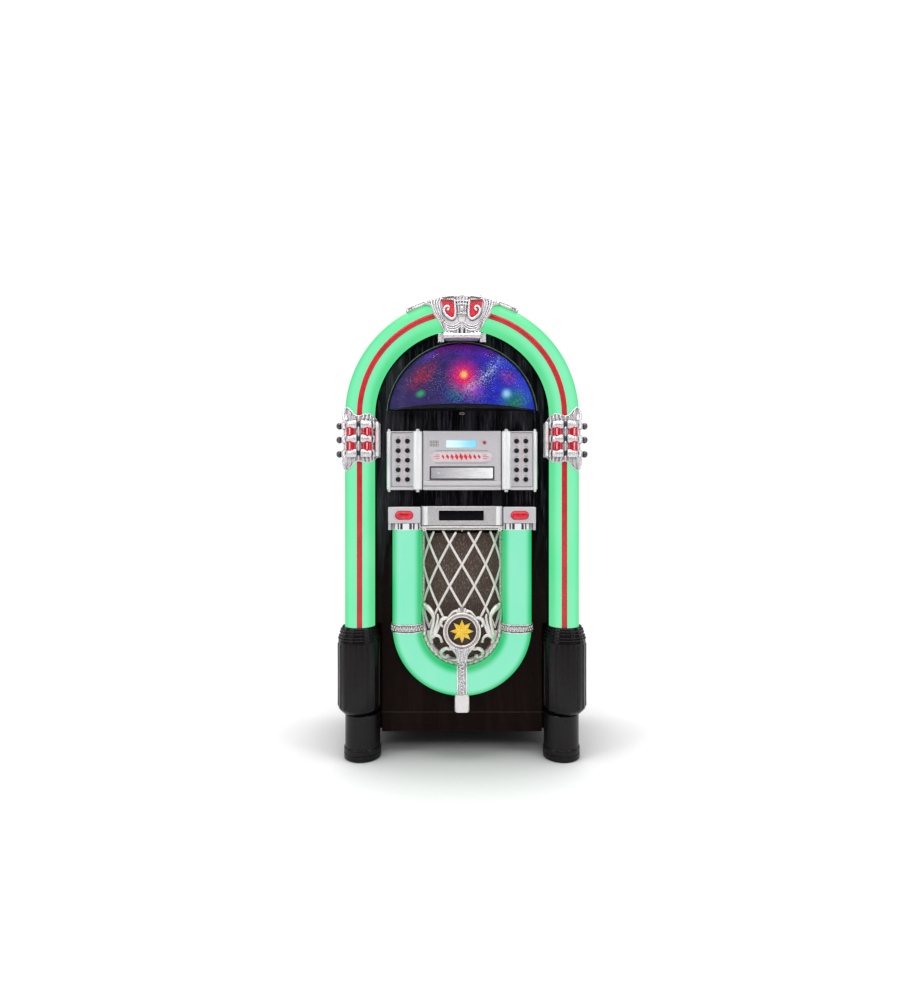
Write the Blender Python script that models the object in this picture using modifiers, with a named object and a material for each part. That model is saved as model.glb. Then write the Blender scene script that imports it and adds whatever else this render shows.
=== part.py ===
"""A full-size CD jukebox: an arched cabinet with glowing tubes, chrome castings and a CD player.

Metres, +Z up, the front faces -Y. The origin is on the floor under the middle of the cabinet.
"""

import math

import bmesh
import bpy
from mathutils import Matrix

# ---- Driving dimensions ---------------------------------------------------------------------
GAP = 0.0003                # between pieces that touch
HEIGHT = 1.072              # floor to the top of the crown
BACK_Y = 0.160              # back edge of the cabinet
FRONT_Y = -0.160            # front of the boots
ARCH_Z = 0.791              # centre of the cabinet's round top
TUBE_X = 0.2378             # centre line of the arch tube, from the arch's centre
TUBE_R = 0.0346             # radius of the arch tube
TUBE_Y = -0.1125            # centre line of the arch tube
SHELL_X = 0.2520            # half width of the cabinet, and the radius of its round top
BOARD = 0.018               # thickness of the cabinet's sides and bottom
SHELL_Y = -0.0775           # front edge of the cabinet's sides
CABINET_Z = 0.0515          # underside of the cabinet
PANEL_X = 0.2010            # half width of the front panel between the tubes
PANEL_Y = -0.098            # front face of the front panel
REAR_LAYER_Y = -0.0772      # where the front panel widens behind the tubes
PANEL_BACK_Y = -0.0675      # back face of the front panel
BOOT_TOP_Z = 0.3051
BOOT_BOTTOM_Z = 0.1043
BOOT_X = 0.2390
BOOT_R = 0.0490
BOOT_Y = FRONT_Y + BOOT_R
LEG_X = 0.2315
LEG_R = 0.0405
WINDOW_R = 0.1765           # radius of the dome window
WINDOW_Z = 0.8065           # its lower edge
WINDOW_BULGE = 0.050        # how far it stands out of the front panel
UNIT_X = 0.0905             # half width of the CD player's front
UNIT_Z = (0.6199, 0.7571)   # bottom and top of the CD player's front and of the keypads
UNIT_Y = -0.116             # its front face
KEYPAD_X = (0.0920, 0.1640)
PILASTER_X = 0.1038
POST_X = (0.1647, 0.1767)
BUTTON_R = 0.0057
BUTTON_X = (0.1270, 0.1485)     # two columns of buttons on each side
BUTTON_Z = 0.6446               # the lowest row
BUTTON_PITCH = 0.02228
BUTTON_ROWS = 5
TRAY_X = 0.0720             # half width of the tray's front
TRAY_Z = (0.6468, 0.6717)
DISC_R = 0.0605
DISC_Y = -0.030             # middle of the disc when the tray is in
HEADER_X = 0.1684
HEADER_Z = (0.5270, 0.5822)
LOWER_X = 0.1271            # centre line of the lower tube
LOWER_HALF = 0.0334         # half width of the lower tube's section
LOWER_DEPTH = 0.026         # half depth of the lower tube's section
BEND_Z = 0.3052             # centre of the lower tube's bend
GRILLE_X = 0.0930           # half width of the grille, inside the lower tube
GRILLE_BULGE = 0.038
MEDALLION_Z = 0.298
MEDALLION_R = 0.0427
REAR_PLATE_Z = (0.245, 0.335)
SWITCH_X = 0.040
SWITCH_Z = 0.290
SWITCH_Y = 0.1560
ROUND = 32                  # sides of a large round piece
BEND_STEPS = 24             # steps of a tube's half circle
SMALL = 12                  # sides of a small round piece

for old in list(bpy.data.objects):
    bpy.data.objects.remove(old, do_unlink=True)
PARTS = bpy.data.collections.new("jukebox")
CUTTERS = bpy.data.collections.new("cutters")
CUTTERS.hide_render = True
for collection in (PARTS, CUTTERS):
    bpy.context.scene.collection.children.link(collection)


# ---- Materials ------------------------------------------------------------------------------
def material(name, colour, roughness, metallic=0.0, glow=0.0):
    made = bpy.data.materials.new(name)
    made.use_nodes = True
    shader = made.node_tree.nodes["Principled BSDF"]
    shader.inputs["Base Color"].default_value = (*colour, 1.0)
    shader.inputs["Roughness"].default_value = roughness
    shader.inputs["Metallic"].default_value = metallic
    shader.inputs["Emission Color"].default_value = (*colour, 1.0)
    shader.inputs["Emission Strength"].default_value = glow
    return made


BLACK_WOOD = material("black_wood", (0.018, 0.015, 0.017), 0.45)
GREEN_TUBE = material("green_tube", (0.10, 0.90, 0.35), 0.35, glow=0.6)
RED_STRIPE = material("red_stripe", (0.60, 0.02, 0.03), 0.35)
CHROME = material("chrome", (0.80, 0.80, 0.82), 0.15, metallic=1.0)
RED_LENS = material("red_lens", (0.75, 0.02, 0.05), 0.20, glow=0.3)
SATIN_SILVER = material("satin_silver", (0.60, 0.60, 0.62), 0.35, metallic=0.7)
BLACK_PLASTIC = material("black_plastic", (0.02, 0.02, 0.022), 0.35)
BOOT_PLASTIC = material("boot_plastic", (0.030, 0.026, 0.030), 0.40)
BROWN_CLOTH = material("brown_cloth", (0.090, 0.070, 0.055), 0.90)
YELLOW_STAR = material("yellow_star", (0.95, 0.60, 0.05), 0.35)
WINDOW_PLASTIC = material("window_plastic", (0.10, 0.08, 0.35), 0.08)
DISPLAY_BLUE = material("display_blue", (0.25, 0.65, 0.95), 0.15, glow=0.8)
GREY_STEEL = material("grey_steel", (0.45, 0.45, 0.46), 0.40, metallic=0.9)


# ---- Shapes ---------------------------------------------------------------------------------
def add_mesh(name, mesh):
    made = bpy.data.objects.new(name, mesh)
    PARTS.objects.link(made)
    return made


def mesh_of(work, name):
    mesh = bpy.data.meshes.new(name)
    work.to_mesh(mesh)
    work.free()
    return mesh


def box(name, low, high):
    """A box between two corners, given in any order."""
    size = [abs(b - a) for a, b in zip(low, high)]
    middle = [(a + b) / 2 for a, b in zip(low, high)]
    work = bmesh.new()
    bmesh.ops.create_cube(work, size=1.0, matrix=Matrix.Diagonal((*size, 1.0)))
    made = add_mesh(name, mesh_of(work, name))
    made.location = middle
    return made


def cylinder(name, radius, length, middle, axis="Z", sides=ROUND):
    """A round bar about its middle."""
    work = bmesh.new()
    bmesh.ops.create_cone(work, cap_ends=True, segments=sides, radius1=radius, radius2=radius,
                          depth=length)
    turn = {"X": Matrix.Rotation(math.pi / 2, 4, "Y"), "Y": Matrix.Rotation(math.pi / 2, 4, "X")}
    if axis != "Z":
        bmesh.ops.transform(work, matrix=turn[axis], verts=work.verts)
    made = add_mesh(name, mesh_of(work, name))
    made.location = middle
    round_off(made)
    return made


def turned(name, profile, middle, axis="Z", steps=ROUND):
    """A solid of revolution. The profile is (radius, height) pairs from its top to its bottom."""
    mesh = bpy.data.meshes.new(name)
    points = [(radius, 0.0, height) for radius, height in profile]
    mesh.from_pydata(points, [(i, i + 1) for i in range(len(points) - 1)], [])
    made = add_mesh(name, mesh)
    made.location = middle
    if axis == "-Y":
        made.rotation_euler = (math.pi / 2, 0.0, 0.0)
    screw = made.modifiers.new("turn", "SCREW")
    screw.steps = steps
    screw.render_steps = steps
    screw.use_merge_vertices = True
    screw.merge_threshold = 0.0001
    screw.use_smooth_shade = False
    return made


def as_mesh(curve_object):
    """Replaces a curve object by its mesh, with the loose caps welded on."""
    bpy.context.view_layer.update()
    graph = bpy.context.evaluated_depsgraph_get()
    mesh = bpy.data.meshes.new_from_object(curve_object.evaluated_get(graph))
    work = bmesh.new()
    work.from_mesh(mesh)
    bmesh.ops.remove_doubles(work, verts=work.verts, dist=0.00001)
    bmesh.ops.dissolve_degenerate(work, edges=work.edges, dist=0.00001)
    bmesh.ops.recalc_face_normals(work, faces=work.faces)
    work.to_mesh(mesh)
    work.free()
    name = curve_object.name
    place = curve_object.matrix_world.copy()
    bpy.data.objects.remove(curve_object)
    made = add_mesh(name, mesh)
    made.matrix_world = place
    return made


def flat_curve(name, outlines):
    curve = bpy.data.curves.new(name, "CURVE")
    curve.dimensions = "2D"
    curve.fill_mode = "BOTH"
    for outline in outlines:
        spline = curve.splines.new("POLY")
        spline.points.add(len(outline) - 1)
        for point, (across, up) in zip(spline.points, outline):
            point.co = (across, up, 0.0, 1.0)
        spline.use_cyclic_u = True
    return curve


def plate(name, outline, front, back, holes=()):
    """An outline in X and Z, with holes, made solid from front to back along Y."""
    curve = flat_curve(name, [outline, *holes])
    curve.extrude = abs(back - front) / 2
    made = bpy.data.objects.new(name, curve)
    PARTS.objects.link(made)
    made.location = (0.0, (front + back) / 2, 0.0)
    made.rotation_euler = (math.pi / 2, 0.0, 0.0)
    return as_mesh(made)


def bar(name, section, low, high):
    """A section in X and Y, made solid from low to high along Z."""
    curve = flat_curve(name, [section])
    curve.extrude = (high - low) / 2
    made = bpy.data.objects.new(name, curve)
    PARTS.objects.link(made)
    made.location = (0.0, 0.0, (low + high) / 2)
    return as_mesh(made)


def sweep(name, path, section):
    """A section (inward, forward) carried along a path that runs up the left and over to the right."""
    guide = bpy.data.objects.new(name + "_section", flat_curve(name + "_section", [section]))
    PARTS.objects.link(guide)
    curve = open_curve(name, path)
    curve.bevel_mode = "OBJECT"
    curve.bevel_object = guide
    made = bpy.data.objects.new(name, curve)
    PARTS.objects.link(made)
    made = as_mesh(made)
    bpy.data.objects.remove(guide)
    return made


def open_curve(name, path):
    curve = bpy.data.curves.new(name, "CURVE")
    curve.dimensions = "3D"
    curve.twist_mode = "MINIMUM"
    curve.use_fill_caps = True
    spline = curve.splines.new("POLY")
    spline.points.add(len(path) - 1)
    for point, place in zip(spline.points, path):
        point.co = (*place, 1.0)
    return curve


def rod(name, path, radius):
    """A round wire along a path."""
    curve = open_curve(name, path)
    curve.bevel_depth = radius
    curve.bevel_resolution = 1
    made = bpy.data.objects.new(name, curve)
    PARTS.objects.link(made)
    return as_mesh(made)


def arc(middle, radius, start, end, count, squash=1.0):
    """Points on an arc, angles in degrees, the second radius scaled by squash."""
    points = []
    for step in range(count + 1):
        angle = math.radians(start + (end - start) * step / count)
        points.append((middle[0] + radius * math.cos(angle),
                       middle[1] + radius * squash * math.sin(angle)))
    return points


def rectangle(low, high):
    return [(low[0], low[1]), (high[0], low[1]), (high[0], high[1]), (low[0], high[1])]


def arched(half_width, bottom):
    """A door shape: straight sides from the bottom, and a half circle about the arch's centre."""
    return [(-half_width, bottom), (half_width, bottom),
            *arc((0.0, ARCH_Z), half_width, 0, 180, ROUND)]


def u_shape(half_width, top):
    """Straight sides from the top down to the lower tube's bend, and a half circle below."""
    return [(half_width, top), (-half_width, top),
            *arc((0.0, BEND_Z), half_width, 180, 360, ROUND // 2)]


def round_off(made):
    made.data.shade_smooth()
    made.data.set_sharp_from_angle(angle=math.radians(35))


def use(made, operation, tools):
    """Adds one Boolean for each tool, and puts the tools away with the cutters."""
    for tool in tools:
        modifier = made.modifiers.new(tool.name, "BOOLEAN")
        modifier.operation = operation
        modifier.object = tool
        PARTS.objects.unlink(tool)
        CUTTERS.objects.link(tool)
        tool.hide_render = True
        tool.display_type = "WIRE"


def cut(made, *tools):
    use(made, "DIFFERENCE", tools)


def join(made, *tools):
    use(made, "UNION", tools)


def keep_inside(made, *tools):
    use(made, "INTERSECT", tools)


def paint(made, finish):
    made.data.materials.clear()
    made.data.materials.append(finish)
    return made


# ---- Cabinet --------------------------------------------------------------------------------
def make_cabinet():
    inner = SHELL_X - BOARD
    outline = [(-SHELL_X, CABINET_Z), (-inner, CABINET_Z),
               *arc((0.0, ARCH_Z), inner, 180, 0, ROUND),
               (inner, CABINET_Z), (SHELL_X, CABINET_Z),
               *arc((0.0, ARCH_Z), SHELL_X, 0, 180, ROUND)]
    paint(plate("cabinet_shell", outline, SHELL_Y, BACK_Y), BLACK_WOOD)
    floor_top = CABINET_Z + BOARD
    paint(box("bottom_board", (-inner + GAP, PANEL_BACK_Y + GAP, CABINET_Z),
              (inner - GAP, BACK_Y - 0.003, floor_top)), BLACK_WOOD)
    back_low = floor_top + GAP
    back = plate("back_panel", arched(inner - GAP, back_low), 0.147, BACK_Y - 0.003)
    plate_middle = sum(REAR_PLATE_Z) / 2
    cut(back, box("rear_hole", (-0.055, 0.140, plate_middle - 0.035),
                  (0.055, 0.170, plate_middle + 0.035)))
    paint(back, BLACK_WOOD)


def make_front_panel():
    """The board between the tubes. Its wider rear layer sits inside the cabinet's sides."""
    inner = SHELL_X - BOARD - GAP
    panel = plate("front_panel", arched(PANEL_X, CABINET_Z), PANEL_Y, REAR_LAYER_Y + 0.002)
    join(panel, plate("rear_layer", arched(inner, CABINET_Z), REAR_LAYER_Y, PANEL_BACK_Y))
    for side in (-1, 1):
        boot_edge = BOOT_X - BOOT_R - 0.0015
        cut(panel, box("boot_room", (side * boot_edge, -0.120, 0.0),
                       (side * 0.300, REAR_LAYER_Y, BOOT_TOP_Z + 0.0015)))
    window = [(-WINDOW_R + 0.006, WINDOW_Z + 0.003), (WINDOW_R - 0.006, WINDOW_Z + 0.003),
              *arc((0.0, ARCH_Z), WINDOW_R - 0.004, 6, 174, 24)]
    cut(panel, plate("window_hole", window, -0.120, -0.050))
    cut(panel, box("drive_hole", (-0.0740, -0.120, 0.6425), (0.0740, -0.050, 0.6760)))
    cut(panel, plate("speaker_hole", u_shape(0.074, 0.495), -0.120, -0.050))
    paint(panel, BLACK_WOOD)


# ---- Arch tube ------------------------------------------------------------------------------
STRIPE_HALF = 0.00625
STRIPE_FRONT = 0.0342
STRIPE_BACK = 0.0300
TUBE_FOOT_Z = 0.2885
TUBE_JOINT_Z = 0.7420       # inside the clamps, where the arch stands on the columns


def grooved_circle(middle=(0.0, 0.0), front=1):
    """The tube's round section with a groove along its front for the red stripe."""
    half = STRIPE_HALF + GAP
    opening = math.degrees(math.asin(half / TUBE_R))
    points = arc((0.0, 0.0), TUBE_R, 90 + opening, 450 - opening, 17)
    points += [(half, STRIPE_BACK - GAP), (-half, STRIPE_BACK - GAP)]
    return [(middle[0] + x, middle[1] + front * y) for x, y in points]


def arch_path(foot):
    """Up the left column's centre line from its foot, over the arch, and down the right one."""
    over = arc((0.0, ARCH_Z), TUBE_X, 180, 0, BEND_STEPS)
    flat = [(-TUBE_X, foot), *over, (TUBE_X, foot)]
    return [(x, TUBE_Y, z) for x, z in flat]


def make_arch_tube():
    arch = sweep("arch_tube", arch_path(TUBE_JOINT_Z + GAP), grooved_circle())
    paint(arch, GREEN_TUBE)
    round_off(arch)
    for name, side in (("left_column_tube", -1), ("right_column_tube", 1)):
        section = grooved_circle((side * TUBE_X, TUBE_Y), front=-1)
        column = bar(name, section, TUBE_FOOT_Z, TUBE_JOINT_Z)
        paint(column, GREEN_TUBE)
        round_off(column)
    stripe = sweep("tube_stripe", arch_path(TUBE_FOOT_Z),
                   rectangle((-STRIPE_HALF, STRIPE_BACK), (STRIPE_HALF, STRIPE_FRONT)))
    paint(stripe, RED_STRIPE)


# ---- Crown ----------------------------------------------------------------------------------
CROWN_FRONT = -0.1595
CROWN_BACK = -0.0990
WING_RADII = (TUBE_X + TUBE_R + 0.0005, TUBE_X + TUBE_R + 0.0080)
WING_ANGLE = 28             # degrees from the top to the wing's end


def crown_outline():
    """One half of the crown's front view is listed from the foot up; the other half mirrors it."""
    half = [(0.0542, 0.9505), (0.0542, 0.9737), (0.0435, 0.9745), (0.0430, 0.9860),
            (0.0460, 0.9990), (0.0520, 1.0130), (0.0600, 1.0270), (0.0595, 1.0400),
            (0.0520, 1.0530), (0.0300, 1.0540), (0.0190, 1.0500), (0.0185, 1.0615)]
    return half + [(-x, z) for x, z in reversed(half)]


def tube_clearance(name, radius):
    """A ring round the arch tube, which the crown is cut with."""
    section = arc((0.0, 0.0), radius, 0, 340, 17)
    over = arc((0.0, ARCH_Z), TUBE_X, 180, 0, BEND_STEPS)
    return sweep(name, [(x, TUBE_Y, z) for x, z in over], section)


def make_crown():
    crown = plate("crown", crown_outline(), CROWN_FRONT, CROWN_BACK)
    join(crown, box("crown_cap", (-0.0450, -0.1350, 1.0400), (0.0450, CROWN_BACK, HEIGHT)))
    low, high = WING_RADII
    wing = [*arc((0.0, ARCH_Z), high, 90 - WING_ANGLE, 90 + WING_ANGLE, 12),
            *arc((0.0, ARCH_Z), low, 90 + WING_ANGLE, 90 - WING_ANGLE, 12)]
    join(crown, plate("crown_wings", wing, -0.1400, -0.0860))
    end_x = low * math.sin(math.radians(WING_ANGLE))
    end_z = ARCH_Z + low * math.cos(math.radians(WING_ANGLE))
    for side in (-1, 1):
        join(crown, box("wing_end", (side * (end_x - 0.012), -0.1420, end_z - 0.003),
                        (side * (end_x + 0.001), -0.0850, end_z + 0.0125)))
    cut(crown, tube_clearance("crown_tube", TUBE_R + 0.0012))
    cut(crown, box("crown_panel_room", (-0.10, PANEL_Y - GAP, 0.90), (0.10, -0.05, 0.995)))
    cut(crown, box("crown_dome_room", (-0.10, -0.1280, 0.90), (0.10, -0.05, 0.9690)))
    for side in (-1, 1):
        opening = [(side * 0.0175, 1.0060), (side * 0.0390, 1.0140), (side * 0.0470, 1.0320),
                   (side * 0.0440, 1.0465), (side * 0.0260, 1.0485), (side * 0.0185, 1.0360)]
        cut(crown, plate("crown_window", opening, -0.170, -0.1500))
    cut(crown, box("crown_pocket", (-0.0490, -0.1562, 1.0030), (0.0490, -0.1500, 1.0505)))
    paint(crown, CHROME)
    paint(box("crown_lens", (-0.0486, -0.1559, 1.0034), (0.0486, -0.1531, 1.0501)), RED_LENS)


# ---- Side clamps ----------------------------------------------------------------------------
CLAMP_X = 0.2345            # middle of the clamp's outer shape
CLAMP_HALF = 0.0425
CLAMP_FRONT = 0.0430        # how far it reaches in front of the tube's centre line
CLAMP_MID_Z = 0.7360
BAR_Z = (0.7025, 0.7357, 0.7677)
BAR_HALF = 0.0070
KNOB_END = 0.2915
LENS_Z = (0.7070, 0.7640)
LENS_R = 0.0370             # outer radius of the red lens round the column


def clamp_outline(side):
    """A plate with two lobes above and below: a tall outer one and a short inner one."""
    top = [(0.1900, 0.0330), (0.1900, 0.0500), (0.1990, 0.0580), (0.2080, 0.0595),
           (0.2180, 0.0560), (0.2330, 0.0530), (0.2430, 0.0600), (0.2520, 0.0735),
           (0.2620, 0.0725), (0.2780, 0.0600), (0.2780, 0.0330)]
    points = [(x, CLAMP_MID_Z + z) for x, z in top]
    points += [(x, CLAMP_MID_Z - z) for x, z in reversed(top)]
    return [(side * x, z) for x, z in points]


def make_clamp(name, side):
    clamp = plate(name, clamp_outline(side), -0.170, SHELL_Y - GAP)
    section = arc((side * CLAMP_X, TUBE_Y), CLAMP_HALF, 0, 345, 23,
                  squash=(CLAMP_FRONT - 0.0020) / CLAMP_HALF)
    section = [(x, y if y < TUBE_Y else TUBE_Y + (y - TUBE_Y) * 1.6) for x, y in section]
    keep_inside(clamp, bar("clamp_round", section, 0.60, 0.87))
    for z in BAR_Z:
        ridge = arc((side * CLAMP_X, TUBE_Y), CLAMP_HALF + 0.0012, 180, 360, 14,
                    squash=(CLAMP_FRONT + 0.0012) / (CLAMP_HALF + 0.0012))
        join(clamp, bar("clamp_bar", ridge, z - BAR_HALF, z + BAR_HALF))
        join(clamp, cylinder("clamp_knob", 0.0078, 0.0230,
                             (side * (KNOB_END - 0.0115), TUBE_Y, z), "X", SMALL))
    cut(clamp, box("clamp_panel_room", (side * 0.15, PANEL_Y - GAP, 0.60),
                   (side * (PANEL_X + GAP), 0.0, 0.87)))
    column = (side * TUBE_X, TUBE_Y, CLAMP_MID_Z)
    cut(clamp, cylinder("clamp_bore", TUBE_R + 0.0008, 0.30, column, sides=24))
    cut(clamp, cylinder("lens_room", LENS_R + 0.0004, LENS_Z[1] - LENS_Z[0] + 0.001,
                        (side * TUBE_X, TUBE_Y, sum(LENS_Z) / 2), sides=24))
    for row in (0, 1):
        low = BAR_Z[row] + BAR_HALF + 0.0015
        high = BAR_Z[row + 1] - BAR_HALF - 0.0015
        for near, far in ((0.2060, 0.2290), (0.2400, 0.2630)):
            cut(clamp, box("lens_window", (side * near, -0.175, low),
                           (side * far, TUBE_Y - 0.015, high)))
    paint(clamp, CHROME)

    lens_middle = (side * TUBE_X, TUBE_Y, sum(LENS_Z) / 2)
    lens = cylinder(name + "_lens", LENS_R, LENS_Z[1] - LENS_Z[0], lens_middle, sides=24)
    cut(lens, cylinder("lens_bore", TUBE_R + 0.0009, 0.20, lens_middle, sides=24))
    cut(lens, box("lens_back", (side * 0.15, TUBE_Y - 0.004, 0.60), (side * 0.32, 0.0, 0.87)))
    paint(lens, RED_LENS)


# ---- CD player ------------------------------------------------------------------------------
DISPLAY = ((-0.0365, 0.7192), (0.0330, 0.7355))     # left and bottom, right and top
TRAY_BED_Z = (0.6505, 0.6585)
TRAY_BED_X = 0.0655


def make_cd_player():
    back = PANEL_Y - GAP
    fascia = box("cd_fascia", (-UNIT_X, UNIT_Y, UNIT_Z[0]), (UNIT_X, back, UNIT_Z[1]))
    join(fascia, box("fascia_ledge", (-UNIT_X, -0.1205, 0.6330), (UNIT_X, -0.1100, 0.6400)))
    cut(fascia, box("tray_hole", (-TRAY_X - 0.001, -0.130, TRAY_Z[0] - 0.001),
                    (TRAY_X + 0.001, -0.080, TRAY_Z[1] + 0.001)))
    (left, low), (right, high) = DISPLAY
    cut(fascia, box("display_room", (left - GAP, -0.130, low - GAP),
                    (right + GAP, UNIT_Y + 0.004, high + GAP)))
    paint(fascia, SATIN_SILVER)
    window = box("display_window", (left, UNIT_Y + 0.0012, low), (right, UNIT_Y + 0.004 - GAP, high))
    paint(window, DISPLAY_BLUE)

    tray = box("cd_tray", (-TRAY_X, UNIT_Y - 0.0005, TRAY_Z[0]), (TRAY_X, UNIT_Y + 0.0045, TRAY_Z[1]))
    join(tray, box("tray_bed", (-TRAY_BED_X, UNIT_Y + 0.004, TRAY_BED_Z[0]),
                   (TRAY_BED_X, DISC_Y + DISC_R + 0.008, TRAY_BED_Z[1])))
    disc_middle = (0.0, DISC_Y, TRAY_BED_Z[1])
    cut(tray, cylinder("disc_room", DISC_R, 0.007, disc_middle))
    cut(tray, box("laser_slot", (-0.018, DISC_Y - 0.018, 0.645), (0.018, DISC_Y + 0.045, 0.665)))
    paint(tray, SATIN_SILVER)

    drive = box("cd_drive", (-0.080, PANEL_BACK_Y + GAP, 0.6310), (0.080, 0.078, 0.6830))
    cut(drive, box("drive_room", (-0.0680, -0.100, 0.6425), (0.0680, 0.0700, 0.6715)))
    cut(drive, cylinder("spindle_hole", 0.0032, 0.030, (0.0, DISC_Y, 0.6430), sides=SMALL))
    paint(drive, GREY_STEEL)
    spindle = turned("cd_spindle",
                     [(0.0, 0.0070), (0.0060, 0.0070), (0.0130, 0.0055), (0.0130, 0.0025),
                      (0.0025, 0.0020), (0.0025, -0.0080), (0.0, -0.0080)],
                     (0.0, DISC_Y, 0.6415), steps=SMALL)
    paint(spindle, BLACK_PLASTIC)


def make_keypad(name, side):
    back = PANEL_Y - GAP
    keypad = box(name, (side * KEYPAD_X[0], UNIT_Y - 0.001, UNIT_Z[0]),
                 (side * KEYPAD_X[1], back, UNIT_Z[1]))
    pilaster = cylinder("pilaster", 0.0095, UNIT_Z[1] - UNIT_Z[0] + 0.008,
                        (side * PILASTER_X, UNIT_Y, sum(UNIT_Z) / 2), sides=SMALL)
    join(keypad, pilaster)
    post_x = sum(POST_X) / 2
    post = cylinder("post", 0.0060, UNIT_Z[1] - UNIT_Z[0] + 0.013,
                    (side * post_x, UNIT_Y + 0.006, sum(UNIT_Z) / 2), sides=SMALL)
    join(keypad, post)
    join(keypad, box("post_foot", (side * 0.160, UNIT_Y + 0.006, UNIT_Z[0] + 0.004),
                     (side * (POST_X[1] - 0.001), back, UNIT_Z[1] - 0.004)))
    cut(keypad, box("keypad_back", (side * 0.05, back, 0.58), (side * 0.20, -0.050, 0.79)))
    for column, x in enumerate(BUTTON_X):
        for row in range(BUTTON_ROWS):
            place = (side * x, UNIT_Y + 0.002, BUTTON_Z + row * BUTTON_PITCH)
            cut(keypad, cylinder("button_room", BUTTON_R + 0.0004, 0.014, place, "Y", SMALL))
            make_button(name.replace("keypad", "button"), column, row, (place[0], 0.0, place[2]))
    paint(keypad, SATIN_SILVER)


def make_button(stem, column, row, place):
    """A round push button with a crowned face. It has 2 mm of room behind it."""
    face = UNIT_Y - 0.0045
    profile = [(0.0, 0.0), (0.0030, -0.0002), (0.0048, -0.0010), (BUTTON_R, -0.0022),
               (BUTTON_R, -0.0110), (0.0, -0.0110)]
    name = f"{stem}_{chr(ord('a') + column)}{row + 1}"
    button = turned(name, profile, (place[0], face, place[2]), "-Y", steps=12)
    paint(button, BLACK_PLASTIC)


# ---- Header ---------------------------------------------------------------------------------
def stadium(middle_x, middle_z, half_width, half_height):
    """An oval with straight long sides."""
    run = half_width - half_height
    return [*arc((middle_x + run, middle_z), half_height, -90, 90, 8),
            *arc((middle_x - run, middle_z), half_height, 90, 270, 8)]


def make_header():
    back = PANEL_Y - GAP
    header = box("header", (-0.100, -0.1380, HEADER_Z[0] + 0.007), (0.100, back, HEADER_Z[1]))
    join(header, box("header_ledge", (-0.100, -0.1440, HEADER_Z[0] + 0.007),
                     (0.100, back - 0.002, HEADER_Z[0] + 0.0120)))
    lens_z = 0.5618
    for name, side in (("left_header_lens", -1), ("right_header_lens", 1)):
        join(header, box("side_box", (side * 0.0935, -0.1500, HEADER_Z[0] + 0.003),
                         (side * HEADER_X, back - 0.001, HEADER_Z[1] - 0.0015)))
        collar = cylinder("collar", 0.0355, 0.0130, (side * LOWER_X, 0.0, 0.5342), sides=24)
        collar.location.y = back - LOWER_DEPTH
        collar.scale.y = 0.78
        join(header, collar)
        middle_x = side * 0.1312
        cut(header, plate("lens_room", stadium(middle_x, lens_z, 0.0210, 0.0103), -0.170, -0.1470))
        lens = plate(name, stadium(middle_x, lens_z, 0.0206, 0.0099), -0.1520, -0.1473)
        paint(lens, RED_LENS)
    cut(header, box("header_window", (-0.0520, -0.150, 0.5503), (0.0490, -0.1360, 0.5714)))
    cut(header, box("header_back", (-0.20, back, 0.50), (0.20, -0.05, 0.60)))
    cut(header, box("header_foot", (-0.20, -0.20, 0.50), (0.20, -0.05, HEADER_Z[0])))
    paint(header, CHROME)


# ---- Lower tube and speaker grille ----------------------------------------------------------
def make_lower_tube():
    middle_y = PANEL_Y - GAP - LOWER_DEPTH
    section = arc((0.0, 0.0), LOWER_HALF, 0, 340, 17, squash=LOWER_DEPTH / LOWER_HALF)
    bend = arc((0.0, BEND_Z), LOWER_X, 180, 360, 20)
    top = HEADER_Z[0] - GAP
    path = [(-LOWER_X, middle_y, top), *[(x, middle_y, z) for x, z in bend], (LOWER_X, middle_y, top)]
    tube = sweep("lower_tube", path, section)
    paint(tube, GREEN_TUBE)
    round_off(tube)


LATTICE_STEP = math.radians(17)     # angle between neighbouring crossings
LATTICE_RISE = 0.0525               # height between rows of crossings
LATTICE_ROW_Z = 0.4470              # the row with a crossing in the middle
LATTICE_SIDE = 4                    # the sides are this many steps from the middle
LATTICE_Z = (0.3180, 0.5235)
RIM_Y = PANEL_Y - GAP - 0.0045


def bulge(angle):
    """(X, Y) on the grille's rounded front for an angle from the middle."""
    edge = LATTICE_STEP * LATTICE_SIDE
    rise = (math.cos(angle) - math.cos(edge)) / (1.0 - math.cos(edge))
    return (GRILLE_X - 0.0025) * math.sin(angle) / math.sin(edge), RIM_Y - GRILLE_BULGE * rise


def make_lattice():
    """Crossing bars that follow the bulge, made from a net of diamonds."""
    net = bmesh.new()
    corners = {}

    def corner(step, row):
        if (step, row) not in corners:
            height = LATTICE_ROW_Z + row * LATTICE_RISE
            corners[step, row] = net.verts.new((step * LATTICE_STEP, 0.0, height))
        return corners[step, row]

    for row in range(-3, 3):
        for step in range(-5, 6):
            if (step + row) % 2:
                net.faces.new([corner(step - 1, row), corner(step, row - 1),
                               corner(step + 1, row), corner(step, row + 1)])
    side = LATTICE_STEP * LATTICE_SIDE
    for place, normal in (((0, 0, LATTICE_Z[1]), (0, 0, 1)), ((0, 0, LATTICE_Z[0]), (0, 0, -1)),
                          ((side, 0, 0), (1, 0, 0)), ((-side, 0, 0), (-1, 0, 0))):
        everything = [*net.verts, *net.edges, *net.faces]
        bmesh.ops.bisect_plane(net, geom=everything, plane_co=place, plane_no=normal,
                               dist=0.0005, clear_outer=True)
    bmesh.ops.subdivide_edges(net, edges=net.edges, cuts=1)
    for vert in net.verts:
        vert.co.x, vert.co.y = bulge(vert.co.x)
    lattice = add_mesh("lattice", mesh_of(net, "lattice"))
    bars = lattice.modifiers.new("bars", "WIREFRAME")
    bars.thickness = 0.0044
    bars.use_boundary = True
    bars.use_even_offset = True
    return lattice


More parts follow.
